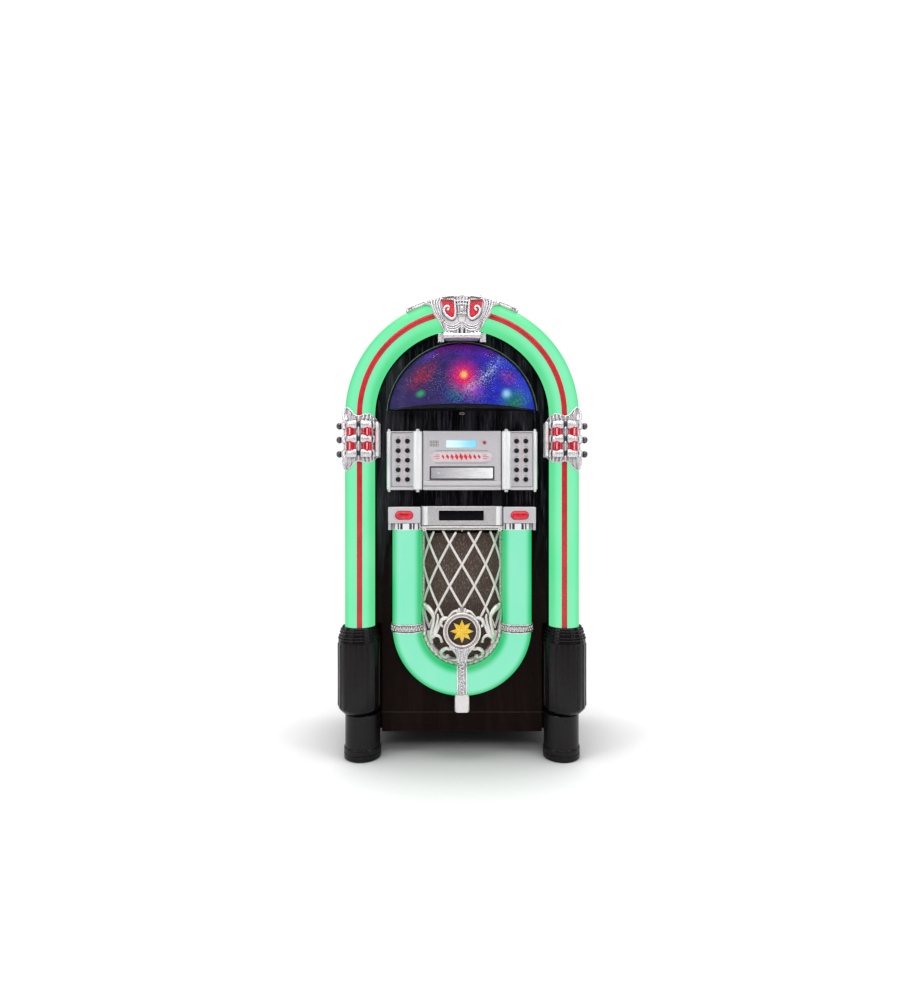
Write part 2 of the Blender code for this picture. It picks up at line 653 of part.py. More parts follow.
def make_grille():
    back = PANEL_Y - GAP
    grille = plate("speaker_grille", u_shape(GRILLE_X, LATTICE_Z[1] + 0.0015), back - 0.0090, back,
                   holes=[u_shape(GRILLE_X - 0.0050, LATTICE_Z[1] - 0.0035)])
    join(grille, make_lattice())
    front = back - GRILLE_BULGE
    middle = (0.0, front - 0.0080, MEDALLION_Z)
    join(grille, cylinder("medallion", MEDALLION_R, 0.0160, middle, "Y"))
    for side in (-1, 1):
        join(grille, rod("upper_arm", [(side * 0.034, front - 0.004, 0.318),
                                       (side * 0.058, front + 0.004, 0.338),
                                       (side * 0.078, front + 0.018, 0.350),
                                       (side * 0.0910, back - 0.004, 0.352)], 0.0032))
        join(grille, rod("lower_arm", [(side * 0.034, front - 0.004, 0.272),
                                       (side * 0.054, front + 0.008, 0.262),
                                       (side * 0.068, front + 0.022, 0.257),
                                       (side * 0.0785, back - 0.004, 0.258)], 0.0032))
    join(grille, box("clip", (-0.0119, -0.1580, 0.1400), (0.0119, -0.1515, 0.2600)))
    join(grille, box("post", (-0.0080, -0.1560, 0.2240), (0.0080, -0.1400, 0.2700)))
    cap_top = BEND_Z - LOWER_X - LOWER_HALF - GAP
    join(grille, box("clip_cap", (-0.0169, -0.1580, 0.1148), (0.0169, back, cap_top)))
    cut(grille, cylinder("star_room", 0.0317, 0.0400, (0.0, front - 0.0300, MEDALLION_Z), "Y"))
    paint(grille, CHROME)

    star = []
    for point in range(16):
        angle = math.radians(22.5 * point)
        reach = 0.0270 if point % 2 == 0 else 0.0142
        star.append((reach * math.sin(angle), MEDALLION_Z + reach * math.cos(angle)))
    paint(plate("grille_star", star, front - 0.0145, front - 0.0103), YELLOW_STAR)
    cloth = plate("grille_cloth", u_shape(GRILLE_X - 0.0056, LATTICE_Z[1] - 0.0042),
                  back - 0.0025, back)
    paint(cloth, BROWN_CLOTH)


# ---- Boots, legs and feet -------------------------------------------------------------------
def make_stand():
    for name, side in (("left", -1), ("right", 1)):
        profile = [(0.0, BOOT_TOP_Z), (0.0385, BOOT_TOP_Z), (0.0400, BOOT_TOP_Z - 0.003),
                   (BOOT_R, BOOT_TOP_Z - 0.033), (BOOT_R, BOOT_BOTTOM_Z + 0.028),
                   (BOOT_R - 0.003, BOOT_BOTTOM_Z + 0.012), (BOOT_R - 0.008, BOOT_BOTTOM_Z + 0.004),
                   (BOOT_R - 0.014, BOOT_BOTTOM_Z), (0.0, BOOT_BOTTOM_Z)]
        boot = turned(name + "_boot", profile, (side * BOOT_X, BOOT_Y, 0.0))
        socket_middle = (side * TUBE_X, TUBE_Y, BOOT_TOP_Z)
        cut(boot, cylinder("boot_socket", TUBE_R + 0.0005, (BOOT_TOP_Z - TUBE_FOOT_Z + GAP) * 2,
                           socket_middle))
        behind = SHELL_Y - GAP
        cut(boot, box("boot_back", (side * 0.10, behind, 0.0), (side * 0.35, 0.05, 0.40)))
        paint(boot, BOOT_PLASTIC)

        ring = LEG_R + 0.0025
        leg_profile = [(0.0, BOOT_BOTTOM_Z - GAP), (LEG_R, BOOT_BOTTOM_Z - GAP), (LEG_R, 0.029),
                       (ring, 0.026), (ring, 0.003), (LEG_R, 0.0), (0.0, 0.0)]
        leg = turned(name + "_leg", leg_profile, (side * LEG_X, BOOT_Y, 0.0))
        cut(leg, box("leg_back", (side * 0.10, behind, CABINET_Z - GAP), (side * 0.35, 0.05, 0.20)))
        paint(leg, BOOT_PLASTIC)

        foot_profile = [(0.0, CABINET_Z - GAP), (0.026, CABINET_Z - GAP), (0.026, 0.003),
                        (0.023, 0.0), (0.0, 0.0)]
        foot = turned(name + "_rear_foot", foot_profile, (side * 0.195, 0.115, 0.0), steps=24)
        paint(foot, BOOT_PLASTIC)


# ---- Dome window and what is behind it ------------------------------------------------------
def half_dome(name, shrink, low):
    """A round-topped bulge, cut flat at its foot and at its back."""
    work = bmesh.new()
    size = Matrix.Diagonal((WINDOW_R - shrink, WINDOW_BULGE - shrink, WINDOW_R - shrink, 1.0))
    bmesh.ops.create_uvsphere(work, u_segments=24, v_segments=16, radius=1.0, matrix=size)
    made = add_mesh(name, mesh_of(work, name))
    made.location = (0.0, PANEL_Y - GAP, ARCH_Z)
    cut(made, box(name + "_foot", (-0.30, -0.30, 0.50), (0.30, 0.10, low)))
    return made


def make_window():
    window = half_dome("dome_window", 0.0, WINDOW_Z)
    cut(window, box("window_back", (-0.30, PANEL_Y - GAP, 0.50), (0.30, 0.10, 1.10)))
    cut(window, half_dome("window_room", 0.003, WINDOW_Z + 0.003))
    paint(window, WINDOW_PLASTIC)
    picture = [(-0.190, WINDOW_Z - 0.010), (0.190, WINDOW_Z - 0.010),
               *arc((0.0, ARCH_Z), 0.190, 2, 178, 24)]
    front = PANEL_BACK_Y + GAP
    paint(plate("light_backdrop", picture, front, front + 0.003), DISPLAY_BLUE)


# ---- Inside the cabinet ---------------------------------------------------------------------
def make_insides():
    flange = 0.0790
    profile = [(0.0, -0.010), (0.022, -0.006), (0.066, 0.0), (flange, 0.0), (flange, -0.004),
               (0.068, -0.004), (0.045, -0.030), (0.040, -0.034), (0.040, -0.055), (0.0, -0.055)]
    speaker = turned("speaker", profile, (0.0, PANEL_BACK_Y + GAP, 0.400), "-Y")
    paint(speaker, BLACK_PLASTIC)
    floor = CABINET_Z + BOARD + GAP
    amplifier = box("amplifier", (-0.080, -0.020, floor), (0.080, 0.070, floor + 0.006))
    join(amplifier, box("transformer", (-0.070, -0.010, floor + 0.003), (-0.010, 0.050, floor + 0.060)))
    join(amplifier, box("heat_sink", (0.010, 0.040, floor + 0.003), (0.070, 0.060, floor + 0.045)))
    paint(amplifier, GREY_STEEL)


def make_rear_plate():
    front = BACK_Y - 0.003 + GAP
    low, high = REAR_PLATE_Z
    rear = box("rear_plate", (-0.075, front, low), (0.075, BACK_Y - 0.0005, high))
    inlet_x = -0.030
    join(rear, box("inlet_body", (inlet_x - 0.017, 0.135, SWITCH_Z - 0.013),
                   (inlet_x + 0.017, BACK_Y - 0.001, SWITCH_Z + 0.013)))
    cut(rear, box("inlet_room", (inlet_x - 0.0125, 0.139, SWITCH_Z - 0.0085),
                  (inlet_x + 0.0125, 0.170, SWITCH_Z + 0.0085)))
    cut(rear, box("switch_hole", (SWITCH_X - 0.0075, 0.150, SWITCH_Z - 0.0115),
                  (SWITCH_X + 0.0075, 0.170, SWITCH_Z + 0.0115)))
    paint(rear, GREY_STEEL)
    # The rocker's side view, as (down, back) pairs: a shallow V face and a narrow tail.
    section = [(-0.0105, 0.0036), (0.0, 0.0028), (0.0105, 0.0036), (0.0105, 0.0005),
               (0.0050, -0.0060), (-0.0050, -0.0060), (-0.0105, 0.0005)]
    rocker = bar("power_switch", section, -0.0065, 0.0065)
    rocker.rotation_euler = (0.0, math.pi / 2, 0.0)
    rocker.location = (SWITCH_X, SWITCH_Y, SWITCH_Z)
    paint(rocker, BLACK_PLASTIC)


make_cabinet()
make_front_panel()
make_arch_tube()
make_crown()
make_clamp("left_clamp", -1)
make_clamp("right_clamp", 1)
make_cd_player()
make_keypad("left_keypad", -1)
make_keypad("right_keypad", 1)
make_header()
make_lower_tube()
make_grille()
make_stand()
make_window()
make_insides()
make_rear_plate()
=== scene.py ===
import math

import bmesh
import bpy
import numpy as np
from mathutils import Matrix, Vector


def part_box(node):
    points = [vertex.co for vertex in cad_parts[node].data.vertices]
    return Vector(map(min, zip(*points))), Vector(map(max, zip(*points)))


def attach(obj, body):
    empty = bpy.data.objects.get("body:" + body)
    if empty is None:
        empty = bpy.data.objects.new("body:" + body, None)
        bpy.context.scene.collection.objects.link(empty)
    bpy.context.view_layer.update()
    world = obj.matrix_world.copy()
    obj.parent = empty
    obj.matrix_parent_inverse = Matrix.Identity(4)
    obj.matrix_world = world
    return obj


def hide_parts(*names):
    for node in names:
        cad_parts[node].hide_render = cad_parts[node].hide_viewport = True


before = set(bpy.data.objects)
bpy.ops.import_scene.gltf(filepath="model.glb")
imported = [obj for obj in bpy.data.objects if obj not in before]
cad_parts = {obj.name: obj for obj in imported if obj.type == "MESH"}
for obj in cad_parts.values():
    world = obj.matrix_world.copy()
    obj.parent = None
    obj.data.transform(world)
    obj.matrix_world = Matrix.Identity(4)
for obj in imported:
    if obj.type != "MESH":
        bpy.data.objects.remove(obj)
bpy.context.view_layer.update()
BODY = "cabinet"


# ---- Places taken from the frame ------------------------------------------------------------
def span(node, axis):
    """Where the node's box starts and ends along an axis."""
    low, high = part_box(node)
    return low[axis], high[axis]


def middle(node, axis):
    return sum(span(node, axis)) / 2


def half_size(node, axis):
    low, high = span(node, axis)
    return (high - low) / 2


TUBE_X = middle("right_column_tube", 0)
TUBE_R = half_size("right_column_tube", 0)
TUBE_Y = middle("right_column_tube", 1)
TUBE_FOOT = span("right_column_tube", 2)[0]
TUBE_JOINT = span("arch_tube", 2)[0]
ARCH_Z = span("arch_tube", 2)[1] - TUBE_X - TUBE_R
PANEL_Y = span("front_panel", 1)[0]
UNIT_X = span("cd_fascia", 0)[1]
UNIT_Y = span("cd_tray", 1)[0] + 0.0005
UNIT_Z = span("cd_fascia", 2)
HEADER_Z = span("header", 2)
HEADER_X = span("header", 0)[1]
LOWER_HALF = 0.0334             # half the width of an arm of the lower tube
LOWER_X = span("lower_tube", 0)[1] - LOWER_HALF
LOWER_DEPTH = half_size("lower_tube", 1)
LOWER_Y = middle("lower_tube", 1)
BEND_Z = span("lower_tube", 2)[0] + LOWER_X + LOWER_HALF
GRILLE_X = 0.0930               # half the grille's width
RIM_Y = PANEL_Y - 0.0048
STAR_Z = middle("grille_star", 2)
MEDALLION_Y = span("grille_star", 1)[1] - 0.0011
CLIP_Y = span("speaker_grille", 1)[0]
BOOT_X = middle("right_boot", 0)
BOOT_R = half_size("right_boot", 0)
BOOT_Y = span("right_boot", 1)[0] + BOOT_R
BOOT_Z = span("right_boot", 2)
LEG_X = middle("right_leg", 0)
LEG_RING = half_size("right_leg", 0)
LEG_R = LEG_RING - 0.0025
LEG_Z = span("right_leg", 2)
SHELL_Y = span("cabinet_shell", 1)[0]
WINDOW_R = 0.1765               # the dome window's rim
WINDOW_FOOT = span("dome_window", 2)[0]
WINDOW_BULGE = PANEL_Y - span("dome_window", 1)[0]
SIDES = (("left", -1), ("right", 1))


# ---- Mesh parts: each is (points, faces) ----------------------------------------------------
def merged(*parts):
    """One part made of several."""
    points, faces = [], []
    for some_points, some_faces in parts:
        start = len(points)
        points.extend(tuple(p) for p in some_points)
        faces.extend([index + start for index in face] for face in some_faces)
    return points, faces


def moved(part, change):
    """The part with each of its points changed."""
    points, faces = part
    return [change(Vector(p)) for p in points], faces


def mirrored(part):
    points, faces = part
    return [(-p[0], p[1], p[2]) for p in points], [list(reversed(face)) for face in faces]


def both_sides(part):
    return merged(part, mirrored(part))


def on_side(side, part):
    """The part, drawn for the right side, on that side."""
    return mirrored(part) if side < 0 else part


def skin(rings, loop=False, open_ring=False):
    """Quads between rings of equal length. loop joins the last ring to the first."""
    count, length = len(rings), len(rings[0])
    points = [tuple(p) for ring in rings for p in ring]
    faces = []
    for ring in range(count if loop else count - 1):
        after = (ring + 1) % count
        for spot in range(length - 1 if open_ring else length):
            beside = (spot + 1) % length
            faces.append([ring * length + spot, ring * length + beside,
                          after * length + beside, after * length + spot])
    if not loop and not open_ring:
        faces.append(list(reversed(range(length))))
        faces.append([(count - 1) * length + spot for spot in range(length)])
    return points, faces


def arc(centre, radius, start, end, count):
    """Points (across, up) from start to end degrees, anticlockwise from +X."""
    return [(centre[0] + radius * math.cos(math.radians(a)), centre[1] + radius * math.sin(math.radians(a)))
            for a in np.linspace(start, end, count)]


def sideways(path, loop=False):
    """The unit normal, to the right of travel, at each (x, z) point."""
    spots = [Vector(p) for p in path]
    normals = []
    for i in range(len(spots)):
        before = spots[i - 1] if i or loop else spots[0]
        after = spots[(i + 1) % len(spots)] if i + 1 < len(spots) or loop else spots[-1]
        run = (after - before).normalized()
        normals.append(Vector((run.y, -run.x)))
    return normals


def sweep(path, section, y, loop=False):
    """Carries (across, forward) points along an (x, z) path at depth y."""
    return skin([[(spot[0] + side.x * u, y - v, spot[1] + side.y * u) for u, v in section]
                 for spot, side in zip(path, sideways(path, loop))], loop=loop)


def full_turn(count):
    """Evenly spaced angles round a circle."""
    return np.linspace(0, 2 * math.pi, count, endpoint=False)


def oval(half_across, half_forward, count=16):
    return [(half_across * math.cos(a), half_forward * math.sin(a)) for a in full_turn(count)]


def rect(x0, z0, x1, z1, r, steps=3):
    """A rectangle's outline, with rounded corners."""
    return [*arc((x1 - r, z0 + r), r, -90, 0, steps), *arc((x1 - r, z1 - r), r, 0, 90, steps),
            *arc((x0 + r, z1 - r), r, 90, 180, steps), *arc((x0 + r, z0 + r), r, 180, 270, steps)]


def rect_round(node, gap, r):
    """The outline of a node seen from the front, wider by a gap on each side."""
    low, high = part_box(node)
    return rect(low[0] - gap, low[2] - gap, high[0] + gap, high[2] + gap, r)


def stadium(x, z, half_x, half_z, steps=12):
    """An outline with straight long sides and round ends."""
    run = half_x - half_z
    return [*arc((x + run, z), half_z, -90, 90, steps), *arc((x - run, z), half_z, 90, 270, steps)]


def circle(x, z, radius, steps=24):
    return [(x + radius * math.cos(a), z + radius * math.sin(a)) for a in full_turn(steps)]


def lozenge(x, z, half_x, half_z, lean=0.0):
    return [(x - half_x, z), (x + lean, z - half_z), (x + half_x, z), (x - lean, z + half_z)]


def smooth_path(points, per_span=6):
    """A Catmull-Rom curve through the points."""
    spots = [Vector(p) for p in points]
    spots = [spots[0] * 2 - spots[1], *spots, spots[-1] * 2 - spots[-2]]
    path = []
    for a, b, c, d in zip(spots, spots[1:], spots[2:], spots[3:]):
        for t in np.linspace(0, 1, per_span, endpoint=False):
            path.append(0.5 * (2 * b + (c - a) * t + (2 * a - 5 * b + 4 * c - d) * t * t
                               + (3 * b - 3 * c + d - a) * t ** 3))
    return [*path, spots[-2]]


def rod(points, radii, sides=10, flat=1.0):
    """A round bar through 3-D points, with rounded ends. flat squeezes it along Y."""
    spots = [Vector(p) for p in points]
    if not hasattr(radii, "__len__"):
        radii = [radii] * len(spots)
    radii = list(np.interp(np.linspace(0, 1, len(spots)), np.linspace(0, 1, len(radii)), radii))
    rings = []
    start, end = (spots[0] - spots[1]).normalized(), (spots[-1] - spots[-2]).normalized()
    spots = [spots[0] + start * radii[0] * 0.9, spots[0] + start * radii[0] * 0.55, *spots,
             spots[-1] + end * radii[-1] * 0.55, spots[-1] + end * radii[-1] * 0.9]
    radii = [radii[0] * 0.30, radii[0] * 0.78, *radii, radii[-1] * 0.78, radii[-1] * 0.30]
    up = Vector((0.0, -1.0, 0.0))
    for i, spot in enumerate(spots):
        run = (spots[min(i + 1, len(spots) - 1)] - spots[max(i - 1, 0)]).normalized()
        across = run.cross(up)
        if across.length < 1e-4:
            across = run.cross(Vector((0.0, 0.0, 1.0)))
        across.normalize()
        up = across.cross(run).normalized()
        rings.append([spot + across * radii[i] * math.cos(a) + up * radii[i] * flat * math.sin(a)
                      for a in full_turn(sides)])
    return skin(rings)


def block(low, high, radius=0.001, steps=2):
    """A box with rounded edges."""
    work = bmesh.new()
    low, high = Vector(low), Vector(high)
    size = Matrix.Diagonal((*(high - low), 1.0))
    bmesh.ops.create_cube(work, size=1.0, matrix=Matrix.Translation((low + high) / 2) @ size)
    bmesh.ops.bevel(work, geom=work.edges[:], offset=radius, segments=steps, profile=0.5, affect="EDGES")
    return taken(work)


def taken(work):
    """The part that a bmesh holds. It frees the bmesh."""
    work.verts.index_update()
    points = [v.co.copy() for v in work.verts]
    faces = [[v.index for v in face.verts] for face in work.faces]
    work.free()
    return points, faces


def lathe(profile, centre, axis="Z", steps=32):
    """Turns (radius, height) points, listed from the far end of the axis to its near end."""
    rings = []
    for radius, height in profile:
        ring = []
        for a in full_turn(steps):
            u, v = max(radius, 1e-5) * math.cos(a), max(radius, 1e-5) * math.sin(a)
            ring.append({"Z": (u, v, height), "-Y": (u, -height, v), "Y": (v, height, u),
                         "X": (height, u, v)}[axis])
        rings.append([Vector(p) + Vector(centre) for p in ring])
    return skin(rings)


def ball(centre, radii, steps=12):
    """An oval ball with three radii."""
    half = np.linspace(90, -90, steps // 2 + 1)
    profile = [(math.cos(math.radians(a)), math.sin(math.radians(a))) for a in half]
    return moved(lathe(profile, (0, 0, 0), steps=steps),
                 lambda p: Vector((p.x * radii[0], p.y * radii[1], p.z * radii[2])) + Vector(centre))


def cut_back(part, back):
    """Flattens the points of a round piece that lie behind a plane."""
    return moved(part, lambda p: Vector((p.x, min(p.y, back), p.z)))


def plate(outlines, front, back, edge=0.0006):
    """A flat piece in the XZ plane with rounded edges. Outlines inside the first are holes."""
    shape = bpy.data.curves.new("outline", "CURVE")
    shape.dimensions = "2D"
    shape.fill_mode = "BOTH"
    shape.extrude = abs(back - front) / 2 - edge
    shape.bevel_depth = edge
    shape.bevel_resolution = 1
    shape.offset = -edge
    for outline in outlines:
        spline = shape.splines.new("POLY")
        spline.points.add(len(outline) - 1)
        for point, (x, z) in zip(spline.points, outline):
            point.co = (x, z, 0.0, 1.0)
        spline.use_cyclic_u = True
    holder = bpy.data.objects.new("outline", shape)
    mesh = holder.to_mesh()
    points = [(v.co.x, (front + back) / 2 - v.co.z, v.co.y) for v in mesh.vertices]
    faces = [list(p.vertices) for p in mesh.polygons]
    bpy.data.objects.remove(holder)
    bpy.data.curves.remove(shape)
    return points, faces


def thickened(depth, offset):
    """For piece(): makes a sheet solid, outwards or inwards."""
    def modify(made):
        solid = made.modifiers.new("thickness", "SOLIDIFY")
        solid.thickness, solid.offset = depth, offset
    return modify


def piece(name, part, finish, slot, *nodes, body=BODY, sharp=38, merge=0.0, modify=None):
    """Makes the object, with its finish, and lets it ride on its body in place of those nodes."""
    mesh = bpy.data.meshes.new(name)
    points, faces = part
    mesh.from_pydata([tuple(p) for p in points], [], faces)
    work = bmesh.new()
    work.from_mesh(mesh)
    if merge:
        bmesh.ops.remove_doubles(work, verts=work.verts, dist=merge)
    bmesh.ops.recalc_face_normals(work, faces=work.faces)
    work.to_mesh(mesh)
    work.free()
    mesh.polygons.foreach_set("use_smooth", [True] * len(mesh.polygons))
    mesh.set_sharp_from_angle(angle=math.radians(sharp))
    mesh.materials.append(finish)
    made = bpy.data.objects.new(name, mesh)
    bpy.context.scene.collection.objects.link(made)
    if modify:
        modify(made)
    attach(made, body)
    if nodes:
        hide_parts(*nodes)
    return made


# ---- Finishes -------------------------------------------------------------------------------
def linear(red, green, blue):
    """The linear colour of an 8-bit screen colour."""
    return tuple((c / 255 / 12.92) if c <= 10 else ((c / 255 + 0.055) / 1.055) ** 2.4
                 for c in (red, green, blue)) + (1.0,)


class Nodes:
    """Short calls for the nodes of one tree."""

    def __init__(self, tree):
        self.tree = tree

    def node(self, kind, inputs=(), output=0, **settings):
        """Makes a node, and returns one of its outputs. Inputs are values or other nodes' outputs."""
        made = self.tree.nodes.new("ShaderNode" + kind)
        for key, value in settings.items():
            setattr(made, key, value)
        for key, value in dict(inputs).items():
            self.put(made.inputs[key], value)
        return made.outputs[output]

    def put(self, socket, value):
        if isinstance(value, bpy.types.NodeSocket):
            self.tree.links.new(value, socket)
        else:
            socket.default_value = value


class Finish(Nodes):
    """A node material, with short calls for the nodes it uses."""

    def __init__(self, name):
        self.material = bpy.data.materials.new(name)
        self.material.use_nodes = True
        super().__init__(self.material.node_tree)
        self.bsdf = self.tree.nodes["Principled BSDF"]

    def set(self, **inputs):
        for key, value in inputs.items():
            self.put(self.bsdf.inputs[key.replace("_", " ")], value)
        return self

    def place(self, scale=(1, 1, 1), move=(0, 0, 0)):
        """The object's own coordinates in metres."""
        return self.node("Mapping", {0: self.node("TexCoord", output=3), 1: move, 3: scale})

    def noise(self, scale, stretch=(1, 1, 1), detail=4.0, rough=0.55, twist=0.0):
        return self.node("TexNoise", {"Vector": self.place(stretch), "Scale": scale, "Detail": detail,
                                      "Roughness": rough, "Distortion": twist})

    def fit(self, value, low, high, new_low=0.0, new_high=1.0, **settings):
        return self.node("MapRange", {0: value, 1: low, 2: high, 3: new_low, 4: new_high}, **settings)

    def smooth(self, *values):
        """As fit, but easing in and out."""
        return self.fit(*values, interpolation_type="SMOOTHERSTEP")

    def drift(self, new_low, new_high, *noise, **settings):
        """Noise, spread between two values."""
        return self.fit(self.noise(*noise, **settings), 0.3, 0.7, new_low, new_high)

    def math(self, operation, first, second=0.0):
        return self.node("Math", {0: first, 1: second}, operation=operation)

    def mix(self, factor, first, second):
        return self.node("Mix", {0: factor, 6: first, 7: second}, output=2, data_type="RGBA")

    def bump(self, height, distance, strength=1.0):
        return self.set(Normal=self.node("Bump", {"Height": height, "Distance": distance, "Strength": strength}))

    def axis(self, letter):
        return self.node("SeparateXYZ", {0: self.node("TexCoord", output=3)}, output="XYZ".index(letter))


def plain(name, dark, light, rough, metal=0.0, grain=(90.0, (1, 1, 1)), relief=(900.0, 0.00005), coat=0.0,
          specular=0.5):
    """A finish that drifts between two colours and two roughnesses, with a fine relief."""
    made = Finish(name)
    made.set(Base_Color=made.mix(made.drift(0.0, 1.0, *grain), linear(*dark), linear(*light)), Metallic=metal,
             Roughness=made.drift(*rough, grain[0] * 2.3, grain[1], detail=6.0),
             Coat_Weight=coat, Coat_Roughness=0.08, Specular_IOR_Level=specular)
    return made.bump(made.noise(relief[0], grain[1], detail=3.0), relief[1]).material


def black_wood():
    """Oak stained black: long upright pores and bands, under a satin coat."""
    made = Finish("black_wood")
    bands = made.noise(26.0, (1, 1, 0.085), detail=5.0, rough=0.6, twist=0.9)
    pores = made.noise(300.0, (1, 1, 0.045), detail=4.0, rough=0.7)
    tone = made.math("ADD", made.fit(bands, 0.48, 0.66, 0.0, 0.50), made.fit(pores, 0.55, 0.70, 0.0, 0.75))
    high = made.smooth(made.axis("Z"), 0.30, 0.66)
    light = made.mix(high, linear(34, 22, 20), linear(74, 71, 79))
    dark = made.mix(high, linear(22, 11, 10), linear(3, 2, 6))
    made.set(Base_Color=made.mix(tone, dark, light), Roughness=made.fit(pores, 0.35, 0.7, 0.30, 0.55),
             Specular_IOR_Level=0.04)
    return made.bump(made.math("ADD", pores, made.math("MULTIPLY", bands, 0.4)), 0.00025, 0.6).material


def glow(name, front, side, middle_line, half, bend, strength, ends=None):
    """Frosted plastic lit from inside: pale along its middle line, and deeper green towards its edges as painted shade.

    The middle line runs upright at that distance from x = 0, and turns round x = 0 past the bend's height.
    """
    made = Finish(name)
    height = made.math("SUBTRACT", made.axis("Z"), bend)
    bent = made.math("MAXIMUM" if bend == ARCH_Z else "MINIMUM", height, 0.0)
    reach = made.math("SQRT", made.math("ADD", made.math("MULTIPLY", made.axis("X"), made.axis("X")),
                                        made.math("MULTIPLY", bent, bent)))
    off = made.math("DIVIDE", made.math("ABSOLUTE", made.math("SUBTRACT", reach, middle_line)), half)
    # Painted shade: front colour along the middle line, side colour towards the edges where the round tube turns away.
    turn = made.smooth(off, 0.42, 0.98, 1.0, 0.0)
    cloud = made.noise(9.0, (1, 1, 0.6), detail=2.0)
    tone = made.mix(turn, linear(*side), linear(*front))
    tone = made.mix(made.fit(cloud, 0.35, 0.7, 0.0, 0.10), tone, linear(225, 255, 240))
    if ends:
        low, high, colour = ends
        tone = made.mix(made.smooth(made.axis("Z"), low, high, 0.0, 0.5), tone, linear(*colour))
    made.set(Base_Color=linear(16, 44, 30), Emission_Color=tone, Emission_Strength=strength,
             Roughness=made.drift(0.34, 0.46, 240.0), Specular_IOR_Level=0.12)
    return made.bump(made.noise(700.0), 0.00003).material


def casting(name, light, dark, rough, strength=0.5, metal=0.9):
    """Bright plated casting, darkened towards its dark colour in its hollows by painted shade."""
    made = Finish(name)
    # Ambient occlusion mixes the dark colour into the base colour in hollows: painted shade.
    painted_hollow_shade = made.node("AmbientOcclusion", {"Distance": 0.006}, output=1, samples=6)
    depth = made.fit(painted_hollow_shade, 0.35, 0.95)
    cloud = made.math("MULTIPLY", made.drift(0.0, 1.0, 140.0, detail=5.0), 0.25)
    tone = made.mix(cloud, linear(*light), linear(*dark))
    made.set(Base_Color=made.mix(depth, linear(*dark), tone), Metallic=metal,
             Roughness=made.drift(*rough, 300.0, detail=6.0))
    return made.bump(made.noise(420.0, detail=5.0), 0.00020, strength).material


def cloth_finish():
    """Brown speaker cloth: a plain weave with pale slubs."""
    made = Finish("brown_cloth")
    warp, weft = [made.node("TexWave", {"Vector": made.place(), "Scale": 190.0, "Distortion": 0.6, "Detail": 1.0},
                            bands_direction=letter) for letter in "XZ"]
    weave = made.math("MULTIPLY", warp, weft)
    slubs = made.fit(made.noise(700.0, (1, 1, 0.25), detail=2.0), 0.56, 0.70)
    tone = made.mix(weave, linear(66, 50, 44), linear(124, 98, 88))
    tone = made.mix(made.math("MULTIPLY", slubs, 0.7), tone, linear(160, 150, 140))
    made.set(Base_Color=tone, Roughness=0.9, Sheen_Weight=0.3, Sheen_Roughness=0.5)
    return made.bump(weave, 0.0003).material


def red_glass(name, bright, deep, strength):
    """Red plastic, faintly lit from behind."""
    made = Finish(name)
    cloud = made.drift(0.0, 1.0, 130.0, detail=2.0)
    made.set(Base_Color=made.mix(cloud, linear(*deep), linear(*bright)),
             Emission_Color=made.mix(cloud, linear(*bright), linear(255, 60, 90)),
             Emission_Strength=strength, Roughness=made.drift(0.12, 0.25, 260.0),
             Coat_Weight=0.3, Coat_Roughness=0.06)
    return made.bump(made.noise(500.0), 0.00004).material


